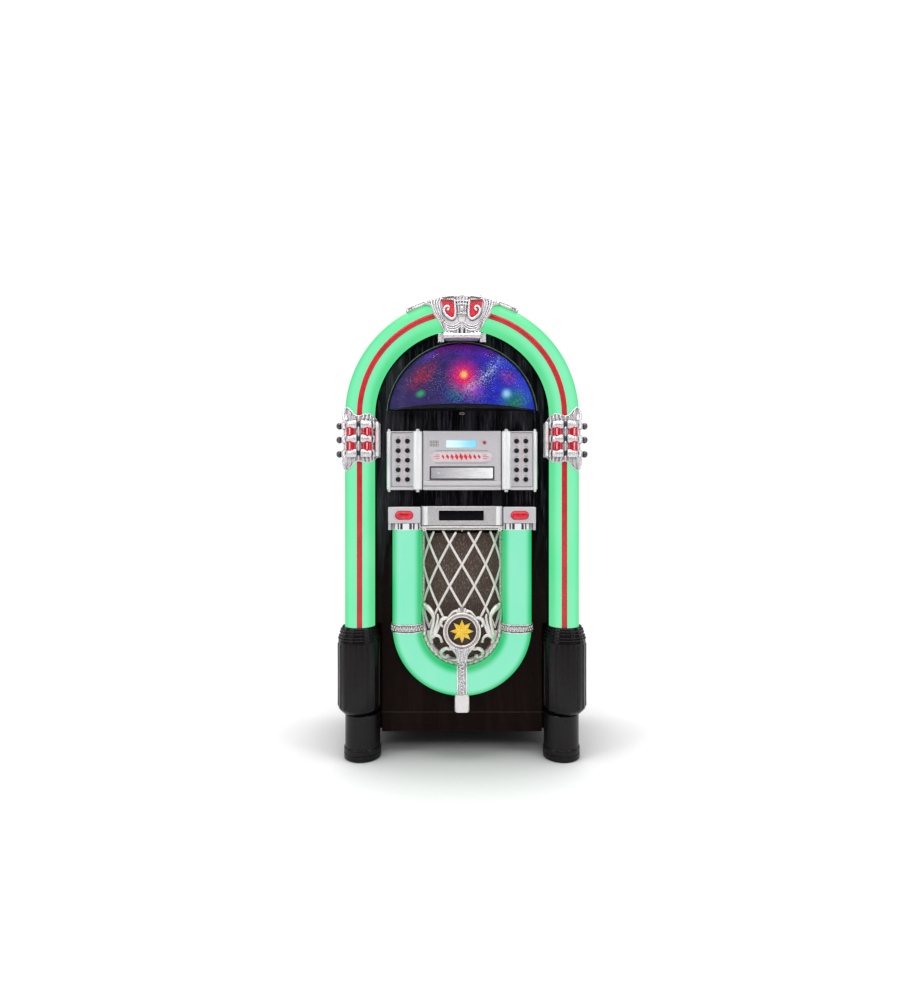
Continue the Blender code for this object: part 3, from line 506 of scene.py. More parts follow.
def picture_finish():
    """Holographic foil lit by small coloured lamps."""
    made = Finish("picture_foil")
    across, up = made.axis("X"), made.axis("Z")
    warp = made.drift(-0.012, 0.012, 22.0, detail=4.0)
    side = made.smooth(made.math("ADD", across, warp), -0.10, 0.10)
    tone = made.mix(side, linear(62, 50, 104), linear(32, 40, 214))
    top = made.smooth(made.math("ADD", up, warp), 0.915, 0.975)
    tone = made.mix(made.math("MULTIPLY", top, 0.95), tone, linear(118, 6, 138))
    shade = made.fit(made.noise(34.0, (1, 1, 2.2), detail=5.0), 0.35, 0.7)
    tone = made.mix(made.math("MULTIPLY", shade, 0.62), tone, linear(22, 14, 62))

    def distance(x, z, squash, turn):
        """How far a place is from a lamp. squash shortens its reach up and down, turn tilts it."""
        spot = made.node("Mapping", {0: made.place((1, 0, 1), move=(-x, 0, -z)), 2: (0, turn, 0)})
        spot = made.node("Mapping", {0: spot, 3: (1, 1, squash)})
        return made.node("VectorMath", {0: spot}, output=1, operation="LENGTH")

    def lamp(x, z, radius, colour, strength, squash=1.0, turn=0.0):
        """A soft patch of light."""
        nonlocal tone
        fall = made.math("POWER", made.fit(distance(x, z, squash, turn), 0.0, radius, 1.0, 0.0), 2.0)
        tone = made.mix(made.math("MULTIPLY", fall, strength), tone, linear(*colour))

    def sparkle(x, z, radius, colour, squash, turn, grains, share):
        """A patch of grains. A lower share makes them denser."""
        nonlocal tone
        dots = made.fit(made.noise(grains, detail=2.0), share, share + 0.10)
        fall = made.smooth(distance(x, z, squash, turn), 0.0, radius, 1.0, 0.0)
        tone = made.mix(made.math("MULTIPLY", fall, dots), tone, linear(*colour))

    lamp(0.150, 0.880, 0.110, (58, 72, 225), 0.8)
    lamp(0.125, 0.828, 0.055, (30, 110, 100), 1.3)
    lamp(-0.015, 0.856, 0.040, (20, 120, 150), 1.0)
    lamp(0.025, 0.862, 0.045, (190, 90, 225), 0.9)
    lamp(-0.095, 0.892, 0.060, (120, 40, 60), 0.9, 1.9, 0.58)
    sparkle(-0.092, 0.893, 0.070, (228, 48, 54), 2.2, 0.80, 300.0, 0.52)
    sparkle(-0.080, 0.935, 0.040, (70, 70, 210), 2.0, 0.58, 420.0, 0.50)
    sparkle(0.108, 0.889, 0.040, (225, 44, 60), 1.6, -0.6, 300.0, 0.52)
    sparkle(0.125, 0.834, 0.058, (26, 170, 110), 1.6, 0.2, 300.0, 0.52)
    sparkle(0.100, 0.915, 0.060, (70, 130, 255), 1.5, 0.3, 320.0, 0.54)
    sparkle(0.010, 0.838, 0.080, (40, 160, 130), 2.4, 0.0, 300.0, 0.55)
    sparkle(0.062, 0.899, 0.074, (205, 222, 255), 2.6, 0.76, 420.0, 0.54)
    sparkle(0.060, 0.897, 0.052, (226, 240, 255), 6.0, 0.76, 380.0, 0.50)
    sparkle(0.018, 0.872, 0.030, (225, 238, 255), 1.4, 0.70, 620.0, 0.47)
    sparkle(0.130, 0.900, 0.062, (12, 12, 80), 1.2, 0.0, 330.0, 0.54)
    sparkle(0.0, 0.850, 0.170, (124, 118, 200), 1.4, 0.0, 420.0, 0.60)
    sparkle(0.0, 0.880, 0.170, (14, 10, 46), 1.2, 0.0, 260.0, 0.52)
    lamp(0.004, 0.893, 0.056, (230, 10, 120), 1.5)
    lamp(0.004, 0.895, 0.031, (255, 34, 64), 1.5)
    lamp(0.0045, 0.896, 0.0135, (255, 205, 120), 2.2)
    lamp(-0.099, 0.850, 0.017, (40, 176, 110), 1.9, 1.5, 0.5)
    lamp(0.106, 0.850, 0.017, (150, 215, 250), 1.9)
    made.set(Base_Color=linear(20, 16, 40), Emission_Color=tone, Emission_Strength=0.97, Roughness=0.40,
             Specular_IOR_Level=0.15)
    return made.bump(made.node("TexVoronoi", {"Vector": made.place(), "Scale": 240.0}), 0.0004, 0.4).material


def clear_window():
    """Thin clear plastic: it shows what is behind, and shines a little."""
    made = Finish("window_plastic")
    made.set(Base_Color=linear(30, 34, 60), Alpha=made.drift(0.05, 0.10, 60.0),
             Roughness=made.drift(0.05, 0.10, 120.0), Specular_IOR_Level=0.25)
    return made.bump(made.noise(300.0), 0.00002).material


def display_finish():
    """Pale blue, brighter to the left, with faint upright bars."""
    made = Finish("display_blue")
    across = made.smooth(made.axis("X"), *span("display_window", 0))
    tone = made.mix(across, linear(226, 242, 252), linear(96, 184, 240))
    bars = made.node("TexWave", {"Vector": made.place(), "Scale": 62.0}, bands_direction="X")
    inside = made.smooth(made.math("ABSOLUTE", made.math("SUBTRACT", made.axis("Z"), middle("display_window", 2))),
                         0.0030, 0.0042, 1.0, 0.0)
    tone = made.mix(made.math("MULTIPLY", made.math("MULTIPLY", made.fit(bars, 0.55, 0.75), inside), 0.22),
                    tone, linear(60, 130, 200))
    made.set(Base_Color=linear(120, 170, 200), Emission_Color=tone, Emission_Strength=0.85, Roughness=0.12,
             Coat_Weight=0.5)
    return made.bump(made.noise(900.0), 0.00002).material


def tray_finish():
    """A polished strip in front, shading from grey to nearly white, and a black bed behind it."""
    made = Finish("tray_plastic")
    across = made.fit(made.axis("X"), *span("cd_tray", 0))
    strip = made.mix(across, linear(166, 164, 169), linear(248, 247, 249))
    brush = made.noise(900.0, (0.03, 1, 1), detail=3.0)
    behind = made.fit(made.axis("Y"), UNIT_Y + 0.0046, UNIT_Y + 0.0047)
    made.set(Base_Color=made.mix(behind, strip, linear(22, 22, 24)), Metallic=made.math("SUBTRACT", 0.15, behind),
             Roughness=made.fit(brush, 0.3, 0.7, 0.22, 0.34))
    return made.bump(brush, 0.000008).material


WOOD = black_wood()
# The side colours are painted shade at the tubes' edges.
GREEN = glow("green_tube", (128, 246, 184), (88, 226, 146), TUBE_X, TUBE_R, ARCH_Z, 0.94,
             (0.90, 1.05, (96, 244, 150)))
GREEN_LOW = glow("green_lower_tube", (140, 242, 202), (14, 200, 112), LOWER_X, LOWER_HALF, BEND_Z, 0.93)
STRIPE = plain("red_stripe", (176, 22, 30), (208, 28, 40), (0.25, 0.4), grain=(30.0, (1, 1, 1)), coat=0.3)
# The castings' dark colours are painted shade in their hollows; they also tint the random cloud.
CHROME = casting("chrome", (224, 220, 221), (122, 116, 120), (0.34, 0.46), 0.25, 0.6)
SATIN = casting("satin_chrome", (244, 236, 234), (142, 132, 130), (0.36, 0.48), 0.20, 0.40)
BRIGHT = casting("bright_chrome", (230, 227, 230), (108, 104, 110), (0.24, 0.36), 0.12, 0.7)
CONTRAST = casting("chrome_deep_hollow_shade", (246, 242, 244), (44, 40, 46), (0.20, 0.32), 0.10, 0.8)
KNOB_STEEL = plain("knob_steel", (70, 68, 72), (112, 110, 114), (0.18, 0.3), 1.0)
SILVER = plain("satin_silver", (196, 193, 197), (210, 208, 212), (0.34, 0.46), 0.35, (500.0, (1, 1, 1)),
               (1800.0, 0.00004), coat=0.15)
PALE = plain("pilaster_silver", (232, 232, 234), (240, 240, 242), (0.28, 0.34), 0.2, (60.0, (1, 1, 0.2)),
             (500.0, 0.00001), coat=0.2)
BRUSHED = plain("brushed_silver", (196, 194, 194), (222, 220, 220), (0.24, 0.36), 0.7, (160.0, (1, 1, 9)),
                (260.0, 0.00006))
TRAY = tray_finish()
SEAM = plain("dark_seam", (30, 29, 31), (58, 56, 60), (0.4, 0.6))
RED_LENS = red_glass("red_lens", (214, 10, 34), (140, 4, 22), 0.22)
CLAMP_RED = red_glass("clamp_red", (196, 12, 38), (124, 2, 20), 0.14)
RED_DEEP = red_glass("red_insert", (208, 14, 36), (130, 6, 16), 0.22)
STAR = plain("yellow_star", (226, 170, 30), (250, 214, 60), (0.25, 0.4), grain=(200.0, (1, 1, 1)), coat=0.4)
BLACK = plain("black_plastic", (10, 10, 12), (20, 20, 22), (0.28, 0.42), relief=(1200.0, 0.00006), specular=0.2)
GLASS = plain("dark_glass", (5, 5, 7), (12, 12, 15), (0.05, 0.09), relief=(300.0, 0.00001), specular=0.25)
BOOT = plain("boot_plastic", (15, 11, 14), (22, 18, 21), (0.16, 0.26), grain=(14.0, (1, 1, 0.3)),
             relief=(1500.0, 0.00003), specular=0.20)
STEEL = plain("grey_steel", (110, 110, 112), (140, 140, 142), (0.35, 0.5), 0.9, (120.0, (1, 1, 8)))
CLOTH = cloth_finish()
PICTURE = picture_finish()
WINDOW = clear_window()
DISPLAY = display_finish()
RUBBER = plain("rubber", (22, 22, 23), (34, 33, 35), (0.6, 0.8), relief=(1400.0, 0.0001))


# ---- CAD pieces whose shape is right --------------------------------------------------------
def keep(node, finish, edge):
    """Shows the CAD piece itself, with a finish and rounded edges."""
    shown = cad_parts[node]
    shown.data.materials.clear()
    shown.data.materials.append(finish)
    rounding = shown.modifiers.new("edges", "BEVEL")
    rounding.width = edge
    rounding.segments = 2
    rounding.limit_method = "ANGLE"
    rounding.angle_limit = math.radians(35)


for kept_nodes, kept_finish, kept_edge in (
        (("bottom_board", "back_panel", "front_panel", "cabinet_shell"), WOOD, 0.0009),
        (("cd_drive", "amplifier", "rear_plate"), STEEL, 0.0004),
        (("speaker", "cd_spindle", "power_switch"), BLACK, 0.0004),
        (("left_rear_foot", "right_rear_foot"), RUBBER, 0.0005)):
    for kept_node in kept_nodes:
        keep(kept_node, kept_finish, kept_edge)


# ---- Arch tube, column tubes and stripe -----------------------------------------------------
GROOVE = 0.0068                 # half width of the groove that holds the stripe
GROOVE_R = 0.0300               # distance of its floor from the tube's middle line
STRIPE_TURN = 7.5               # degrees that the stripe is turned inwards


def tube_section():
    """A round section with the groove in front."""
    edge = math.asin(GROOVE / TUBE_R)
    rim = [(TUBE_R * math.sin(a), TUBE_R * math.cos(a))
           for a in np.linspace(edge, 2 * math.pi - edge, 44)]
    return [*rim, (-GROOVE, GROOVE_R), (GROOVE, GROOVE_R)]


def turned(section, degrees):
    """The section turned about the tube's middle line; a positive angle turns its front towards +u."""
    c, q = math.cos(math.radians(degrees)), math.sin(math.radians(degrees))
    return [(u * c + v * q, v * c - u * q) for u, v in section]


def arch_path(foot):
    """Up the left side, over the top and down the right side."""
    return [(-TUBE_X, foot), *arc((0.0, ARCH_Z), TUBE_X, 180, 0, 72), (TUBE_X, foot)]


piece("arch_tube_glow", sweep(arch_path(TUBE_JOINT), turned(tube_section(), STRIPE_TURN), TUBE_Y), GREEN,
      "green_tube", "arch_tube")
for word, side in SIDES:
    column = sweep([(side * TUBE_X, z) for z in np.linspace(TUBE_FOOT, span("left_column_tube", 2)[1], 9)],
                   turned(tube_section(), -side * STRIPE_TURN), TUBE_Y)
    piece(word + "_column_glow", column, GREEN, "green_tube", word + "_column_tube")
STRIPE_SIDE = [(0.0022, 0.0348), (0.0048, 0.0344), (0.0061, 0.0336), (0.0061, 0.0302)]
stripe_section = [*[(-u, v) for u, v in reversed(STRIPE_SIDE)], *STRIPE_SIDE]
piece("tube_stripe_strip", sweep(arch_path(TUBE_FOOT), turned(stripe_section, STRIPE_TURN), TUBE_Y), STRIPE,
      "red_stripe", "tube_stripe")


# ---- Boots and legs -------------------------------------------------------------------------
BOOT_TOP_R = 0.0404
FLUTE = 0.0007                  # depth of the shallow flutes at the boot's top and foot
LEG_SHOWN = 0.0515              # above this height the leg is cut flat against the cabinet


def round_boot(side, radius, angle, z):
    """A place on a circle round the boot, at an angle from its front."""
    return side * BOOT_X + radius * math.sin(angle), BOOT_Y - radius * math.cos(angle), z


def make_boot(side):
    """A round shell, drawn in at its foot, with a well that the column tube stands in."""
    low, high = BOOT_Z
    profile = [(high, 0.0385), (high - 0.0012, 0.0396), (high - 0.0035, BOOT_TOP_R), (high - 0.033, BOOT_R - 0.0004),
               (high - 0.036, BOOT_R), (low + 0.030, BOOT_R), (low + 0.0150, BOOT_R - 0.0002),
               (low + 0.0120, BOOT_R - 0.0012), (low + 0.0050, BOOT_R - 0.0072), (low + 0.0012, BOOT_R - 0.0112),
               (low, BOOT_R - 0.0132)]
    rings = []
    for z, radius in profile:
        fluted = z < low + 0.035 or z > high - 0.034
        rings.append([round_boot(side, radius - (FLUTE if fluted and step % 4 == 0 else 0.0), a, z)
                      for step, a in enumerate(full_turn(96))])
    well = [[(side * TUBE_X + (TUBE_R + 0.0004) * math.sin(a), TUBE_Y - (TUBE_R + 0.0004) * math.cos(a), z)
             for a in full_turn(96)] for z in (TUBE_FOOT - 0.0003, high)]
    return cut_back(skin([*well, *rings]), SHELL_Y - 0.0003)


def boot_ribs(side):
    """Rows of raised dashes round the boot's top, and upright ribs on its body."""
    low, high = BOOT_Z
    parts = []
    for z in (high - 0.0075, high - 0.0135, high - 0.0215, high - 0.0275):
        radius = np.interp(z, (high - 0.033, high - 0.0035), (BOOT_R, BOOT_TOP_R)) + 0.0002
        for step in range(-7, 8):
            points = [round_boot(side, radius, math.radians(step * 12.5 + a), z) for a in np.linspace(-4.6, 4.6, 5)]
            if max(p[1] for p in points) < SHELL_Y - 0.003:
                parts.append(rod(points, 0.0019, 8))
    for angles, sink, thick, foot, head in (((-76, -52, -30, 30, 52, 76), 0.0006, 0.0021, 0.018, 0.040),
                                            ((-9, 9), 0.0010, 0.0011, 0.036, 0.042)):
        for degrees in angles:
            parts.append(rod([round_boot(side, BOOT_R - sink, math.radians(degrees), z)
                              for z in np.linspace(low + foot, high - head, 6)], thick, 8))
    return merged(*parts)


def make_leg(side):
    """A plain round post with a double ring round its foot."""
    low, high = LEG_Z
    profile = [(0.0, high), (LEG_R - 0.001, high), (LEG_R, high - 0.001), (LEG_R, 0.0300),
               (LEG_R + 0.0004, 0.0285), (LEG_RING - 0.0008, 0.0272), (LEG_RING, 0.0255), (LEG_RING, 0.0155),
               (LEG_RING - 0.0012, 0.0148), (LEG_RING - 0.0012, 0.0138), (LEG_RING, 0.0130),
               (LEG_RING, 0.0030), (LEG_RING - 0.0012, 0.0010), (LEG_R, low), (0.0, low)]
    return lathe(profile, (side * LEG_X, BOOT_Y, 0.0), steps=72)


for word, side in SIDES:
    piece(word + "_boot_shell", make_boot(side), BOOT, "boot_plastic", word + "_boot", sharp=30)
    piece(word + "_boot_ribs", boot_ribs(side), BOOT, "boot_plastic")
    leg = moved(make_leg(side),
                lambda p: Vector((p.x, min(p.y, SHELL_Y - 0.0003) if p.z > LEG_SHOWN else p.y, p.z)))
    piece(word + "_leg_post", leg, BOOT, "boot_plastic", word + "_leg", sharp=30)


# ---- CD player front ------------------------------------------------------------------------
UNIT_BACK = PANEL_Y - 0.0004    # pieces that stand on the front panel stop just short of it
TRAY_GAP = 0.0010
TRAY_Y = span("cd_tray", 1)[0]
BADGE_X, BADGE_Z = -0.0020, 0.6972
face = plate([rect(-UNIT_X, UNIT_Z[0], UNIT_X, UNIT_Z[1], 0.0012), rect_round("cd_tray", TRAY_GAP, 0.0008),
              rect_round("display_window", 0.0003, 0.0006)], UNIT_Y, UNIT_BACK)
frame_lip = plate([rect(-UNIT_X + 0.0006, UNIT_Z[0] + 0.0085, UNIT_X - 0.0006, UNIT_Z[1] - 0.0006, 0.0012),
                   rect(-UNIT_X + 0.0105, UNIT_Z[0] + 0.0160, UNIT_X - 0.0105, UNIT_Z[1] - 0.0050, 0.0012)],
                  UNIT_Y - 0.0008, UNIT_Y + 0.0010, 0.0005)
shelf = block((-UNIT_X, UNIT_Y - 0.0042, 0.6306), (UNIT_X, UNIT_Y + 0.004, 0.6400), 0.0016)
foot_band = block((-UNIT_X, UNIT_Y - 0.0030, UNIT_Z[0]), (UNIT_X, UNIT_Y + 0.004, 0.6265), 0.0012)
tray_frame = plate([rect_round("cd_tray", 0.0034, 0.0016), rect_round("cd_tray", TRAY_GAP, 0.0008)],
                   UNIT_Y - 0.0010, UNIT_Y + 0.0010, 0.0004)
piece("cd_fascia_face", merged(face, frame_lip, shelf, foot_band), SILVER, "satin_silver", "cd_fascia")
piece("tray_frame", tray_frame, SEAM, "black_plastic")
lines = [(-0.0624, 0.0600, 0.7122), (-0.0624, 0.0600, 0.6825), (-0.0860, 0.0860, 0.6288), (-0.0860, 0.0860, 0.6420)]
piece("fascia_lines", merged(*[block((x0, UNIT_Y - 0.0003, z - 0.0003), (x1, UNIT_Y + 0.001, z + 0.0003), 0.0001, 1)
                               for x0, x1, z in lines]), SEAM, "black_plastic")
badge = plate([stadium(BADGE_X, BADGE_Z, 0.0745, 0.0128), stadium(BADGE_X, BADGE_Z, 0.0733, 0.0116)],
              UNIT_Y - 0.0008, UNIT_Y + 0.001, 0.0003)
piece("badge_rim", badge, BRUSHED, "satin_silver")
BADGE_TINT = plain("badge_tint", (206, 196, 200), (222, 212, 216), (0.3, 0.4), 0.1)
piece("badge_field", plate([stadium(BADGE_X, BADGE_Z, 0.0730, 0.0113)], UNIT_Y - 0.0003, UNIT_Y + 0.001, 0.0002),
      BADGE_TINT, "satin_silver")


badge_marks = []
for step in range(-4, 5):
    size = 1.0 - 0.09 * abs(step)
    badge_marks.append(plate([lozenge(BADGE_X + step * 0.0105, BADGE_Z, 0.0050 * size, 0.0088 * size, 0.0018)],
                             UNIT_Y - 0.0011, UNIT_Y + 0.001, 0.0003))
for side in (-1, 1):
    for row in (-1, 0, 1):
        x0, x1 = sorted((side * 0.0500 + BADGE_X, side * (0.0640 - 0.004 * abs(row)) + BADGE_X))
        z = BADGE_Z + row * 0.0042
        badge_marks.append(block((x0, UNIT_Y - 0.0009, z - 0.0006), (x1, UNIT_Y + 0.001, z + 0.0006), 0.0003, 1))
BADGE_RED = plain("badge_red", (206, 34, 52), (232, 70, 84), (0.2, 0.3), coat=0.5)
piece("badge_lozenges", merged(*badge_marks), BADGE_RED, "red_stripe")
dots = [lathe([(0.0, 0.0006), (0.0009, 0.0006), (0.0011, 0.0003), (0.0011, -0.0005), (0.0, -0.0005)],
              (-0.0742 + 0.0037 * column, UNIT_Y, 0.7225 + 0.0037 * row), "-Y", 10)
        for column in range(6) for row in range(4)]
piece("fascia_dots", merged(*dots), SEAM, "black_plastic")
lamp_place = (0.0521, UNIT_Y, 0.7300)
piece("indicator_lamp", lathe([(0.0, 0.0022), (0.0020, 0.0020), (0.0036, 0.0012), (0.0042, 0.0), (0.0042, -0.001),
                               (0.0, -0.001)], lamp_place, "-Y", 24),
      red_glass("indicator_red", (150, 40, 60), (90, 12, 26), 0.25), "red_lens")
piece("indicator_rim", lathe([(0.0044, 0.0004), (0.0050, 0.0009), (0.0056, 0.0004), (0.0056, -0.0005),
                              (0.0044, -0.0005)], lamp_place, "-Y", 24), BRUSHED, "satin_silver")
keep("display_window", DISPLAY, 0.0004)
tray_marks = [plate([lozenge(x, 0.6592, half_x, half_z)], TRAY_Y - 0.0003, TRAY_Y + 0.001, 0.0001)
              for x, half_x, half_z in ((-0.0545, 0.0026, 0.0016), (0.0480, 0.0018, 0.0018))]
piece("cd_tray_marks", merged(*tray_marks), PALE, "satin_silver", body="cd_tray")
keep("cd_tray", TRAY, 0.0006)


# ---- Keypads, pilasters, posts and buttons, drawn for the right side ------------------------
BUTTON_COLUMNS = [middle("right_button_a1", 0), middle("right_button_b1", 0)]
BUTTON_ROWS = [middle(f"right_button_a{row}", 2) for row in range(1, 6)]
BUTTON_R = half_size("right_button_a1", 0)
POST_X = 0.1704
PILASTER_X = 0.1030


def keypad_plate():
    """The plate with its holes, a raised rim and a ledge."""
    holes = [circle(x, z, BUTTON_R + 0.0004) for x in BUTTON_COLUMNS for z in BUTTON_ROWS]
    field = plate([rect(0.0930, UNIT_Z[0] + 0.0005, 0.1665, UNIT_Z[1] - 0.0005, 0.001), *holes], UNIT_Y + 0.0005,
                  UNIT_BACK)
    rim = plate([rect(0.1125, UNIT_Z[0] + 0.0035, 0.1662, UNIT_Z[1] - 0.0015, 0.001),
                 rect(0.1142, UNIT_Z[0] + 0.0075, 0.1638, UNIT_Z[1] - 0.0040, 0.0015)], UNIT_Y - 0.0011,
                UNIT_Y + 0.0015, 0.0004)
    ledge = block((0.1125, UNIT_Y - 0.0020, UNIT_Z[0]), (0.1665, UNIT_Y + 0.003, UNIT_Z[0] + 0.0055), 0.0012)
    return merged(field, rim, ledge)


def button_sockets():
    """A raised ring round each hole."""
    profile = [(BUTTON_R + 0.0005, 0.0008), (BUTTON_R + 0.0013, 0.0011), (BUTTON_R + 0.0018, 0.0006),
               (BUTTON_R + 0.0018, -0.0005), (BUTTON_R + 0.0005, -0.0005)]
    return merged(*[lathe(profile, (x, UNIT_Y + 0.0005, z), "-Y", 24) for x in BUTTON_COLUMNS for z in BUTTON_ROWS])


def upright(radius, low, high, x, y, knob, tips):
    """A turned column with a small knob at each end. tips is how far the knobs stand out."""
    end = [(0.0, tips), (knob * 0.55, tips - 0.0004), (knob, tips - 0.0020), (knob * 0.85, 0.0014),
           (knob * 0.8, 0.0004), (radius * 0.88, -0.0002), (radius, -0.0014)]
    profile = [*[(r, high + rise) for r, rise in end], (radius, (low + high) / 2),
               *[(r, low - rise) for r, rise in reversed(end)]]
    return cut_back(lathe(profile, (x, y, 0.0)), UNIT_BACK)


def keypad_marks(side):
    """Two short printed dashes above each button."""
    return merged(*[block((side * x + shift - half, UNIT_Y + 0.0002, z + 0.0090),
                          (side * x + shift + half, UNIT_Y + 0.0015, z + 0.0103), 0.0001, 1)
                    for x in BUTTON_COLUMNS for z in BUTTON_ROWS
                    for shift, half in ((-0.0022, 0.0012), (0.0016, 0.0020))])


pilaster = upright(0.0106, UNIT_Z[0] + 0.0005, UNIT_Z[1] - 0.0005, PILASTER_X, UNIT_Y + 0.0008, 0.0046, 0.0058)
flutes = merged(*[rod([(PILASTER_X + 0.0108 * math.sin(a), UNIT_Y + 0.0008 - 0.0108 * math.cos(a), z)
                       for z in np.linspace(UNIT_Z[0] + 0.005, UNIT_Z[1] - 0.005, 3)], 0.0007, 8)
                  for a in np.radians((-38, 38))])
post = upright(0.0056, UNIT_Z[0] + 0.0010, UNIT_Z[1] - 0.0005, POST_X, UNIT_Y + 0.0066, 0.0036, 0.0060)
# Painted shade: the collar's wall is dark between its light ribs.
COLLAR_SHADE = plain("collar_painted_shade", (66, 62, 66), (92, 88, 92), (0.25, 0.35), 0.6, (60.0, (1, 1, 0.2)))
MARK_GREY = plain("mark_grey", (116, 112, 116), (138, 134, 138), (0.4, 0.5))
PINK = plain("pink_line", (212, 112, 118), (222, 136, 138), (0.3, 0.4))
# A dark line round the keypad's rim: its joint, and painted shade of the raised rim.
keypad_shade_outline = plate([rect(0.1118, UNIT_Z[0] + 0.0068, 0.1650, UNIT_Z[1] - 0.0032, 0.0015),
                        rect(0.1127, UNIT_Z[0] + 0.0077, 0.1641, UNIT_Z[1] - 0.0041, 0.0010)],
                       UNIT_Y - 0.0014, UNIT_Y + 0.0008, 0.0002)
line_x = sum(BUTTON_COLUMNS) / 2
keypad_line = block((line_x - 0.0004, UNIT_Y + 0.0002, 0.6334), (line_x + 0.0004, UNIT_Y + 0.0015, 0.7459), 0.0001, 1)
for word, side in SIDES:
    piece(word + "_keypad_plate", on_side(side, keypad_plate()), SILVER, "satin_silver", word + "_keypad")
    piece(word + "_button_sockets", on_side(side, button_sockets()), SILVER, "satin_silver")
    piece(word + "_pilaster", on_side(side, merged(pilaster, flutes)), PALE, "satin_silver")
    piece(word + "_post", on_side(side, post), PALE, "satin_silver")
    piece(word + "_keypad_marks", keypad_marks(side), MARK_GREY, "grey_steel")
    piece(word + "_keypad_shade_outline", on_side(side, keypad_shade_outline), SEAM, "black_plastic")
    piece(word + "_keypad_line", on_side(side, keypad_line), PINK, "red_stripe")

button_profile = [(0.0, 0.0), (0.0020, -0.0001), (0.0036, -0.0005), (0.0047, -0.0012), (0.0053, -0.0020),
                  (BUTTON_R, -0.0030), (BUTTON_R, -0.0110), (0.0, -0.0110)]
for word, side in SIDES:
    for letter in "ab":
        for row in range(1, 6):
            node = f"{word}_button_{letter}{row}"
            low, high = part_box(node)
            where = ((low[0] + high[0]) / 2, low[1], (low[2] + high[2]) / 2)
            piece(node + "_cap", lathe(button_profile, where, "-Y", 28), BLACK, "black_plastic", node, body=node)


# ---- Header ---------------------------------------------------------------------------------
CENTRE_Y = -0.1380              # front of the middle panel
BOX_Y = -0.1500                 # front of the lamp boxes
CENTRE_X = 0.0925               # half the width of the middle panel
GLASS_RECT = (-0.0530, 0.5493, 0.0500, 0.5724)
LENS_AT = (middle("right_header_lens", 0), middle("right_header_lens", 2))


def header_centre():
    """The middle panel, with its window frame, end bars and ledge."""
    low = HEADER_Z[0] + 0.0105
    board = plate([rect(-CENTRE_X, low, CENTRE_X, HEADER_Z[1], 0.001), rect(*GLASS_RECT, 0.0008)], CENTRE_Y, UNIT_BACK)
    rim = plate([rect(-0.0545, 0.5478, 0.0515, 0.5739, 0.001), rect(*GLASS_RECT, 0.0008)], CENTRE_Y - 0.0009,
                CENTRE_Y + 0.001, 0.0004)
    top_rail = block((-CENTRE_X, CENTRE_Y - 0.0016, HEADER_Z[1] - 0.0032), (CENTRE_X, CENTRE_Y + 0.004, HEADER_Z[1]),
                     0.0012)
    ledge = block((-CENTRE_X, CENTRE_Y - 0.0060, HEADER_Z[0] + 0.0044),
                  (CENTRE_X, UNIT_BACK - 0.002, HEADER_Z[0] + 0.0088),
                  0.0016, 3)
    return merged(board, rim, top_rail, ledge)


def header_rail():
    """The light beaded rail under the ledge, with a flower at each corner."""
    low = HEADER_Z[0] + 0.0006
    parts = [block((-0.0915, CENTRE_Y - 0.0034, low), (0.0915, CENTRE_Y + 0.0040, low + 0.0036), 0.0012)]
    for x in np.arange(-0.0880, 0.0881, 0.0044):
        parts.append(ball((x, CENTRE_Y - 0.0034, low + 0.0018), (0.0019, 0.0010, 0.0015), 8))
    for side in (-1, 1):
        for a in np.radians(np.arange(0, 360, 60)):
            parts.append(ball((side * 0.0862 + 0.0034 * math.cos(a), CENTRE_Y - 0.0050,
                               low + 0.0016 + 0.0030 * math.sin(a)),
                              (0.0022, 0.0012, 0.0022), 8))
    return merged(*parts)


def header_bars():
    """A rounded upright at each end of the middle panel."""
    return merged(*[sweep([(x, z) for z in np.linspace(HEADER_Z[0] + 0.0112, HEADER_Z[1] - 0.0008, 5)],
                          oval(0.0060, 0.0050, 20), CENTRE_Y + 0.0008) for x in (-0.0837, 0.0837)])


def header_box():
    """The right lamp box: a rounded face with a beaded outer edge."""
    x0, x1 = 0.0945, HEADER_X - 0.0004
    shell = plate([rect(x0, HEADER_Z[0] + 0.0160, x1, HEADER_Z[1] - 0.0015, 0.0022),
                   stadium(*LENS_AT, 0.0212, 0.0105)], BOX_Y, UNIT_BACK - 0.001, 0.0018)
    floor = plate([stadium(*LENS_AT, 0.0225, 0.0118)], BOX_Y + 0.0028, BOX_Y + 0.005, 0.0004)
    rim = plate([stadium(*LENS_AT, 0.0232, 0.0125), stadium(*LENS_AT, 0.0212, 0.0105)], BOX_Y - 0.0008,
                BOX_Y + 0.001, 0.0004)
    beads = [ball((x, BOX_Y + 0.0008, z), (0.0013, 0.0016, 0.0015), 8)
             for x in (x1 - 0.0018, x1 - 0.0048) for z in np.arange(HEADER_Z[0] + 0.0030, HEADER_Z[1] - 0.003, 0.0036)]
    strip = block((x1 - 0.0062, BOX_Y + 0.0006, HEADER_Z[0] + 0.0004),
                  (x1 - 0.0004, UNIT_BACK - 0.001, HEADER_Z[0] + 0.0200), 0.0012)
    return merged(shell, floor, rim, strip, *beads)


def collar_band(side, start, end, reach, low, high, steps=24):
    """Part of the collar's wall between two angles from the front, standing out by reach."""
    angles = np.radians(np.linspace(start, end, steps))
    rings = []
    for z, size in ((low, 0.0), (low + 0.0008, 1.0), (high - 0.0008, 1.0), (high, 0.0)):
        out = reach * size
        ring = [(side * LOWER_X + (0.0346 + out) * math.sin(a), LOWER_Y - (0.0262 + out) * math.cos(a),
                 z) for a in angles]
        ring += [(side * LOWER_X + 0.0336 * math.sin(a), LOWER_Y - 0.0252 * math.cos(a), z) for a in reversed(angles)]
        rings.append(ring)
    return skin(rings)


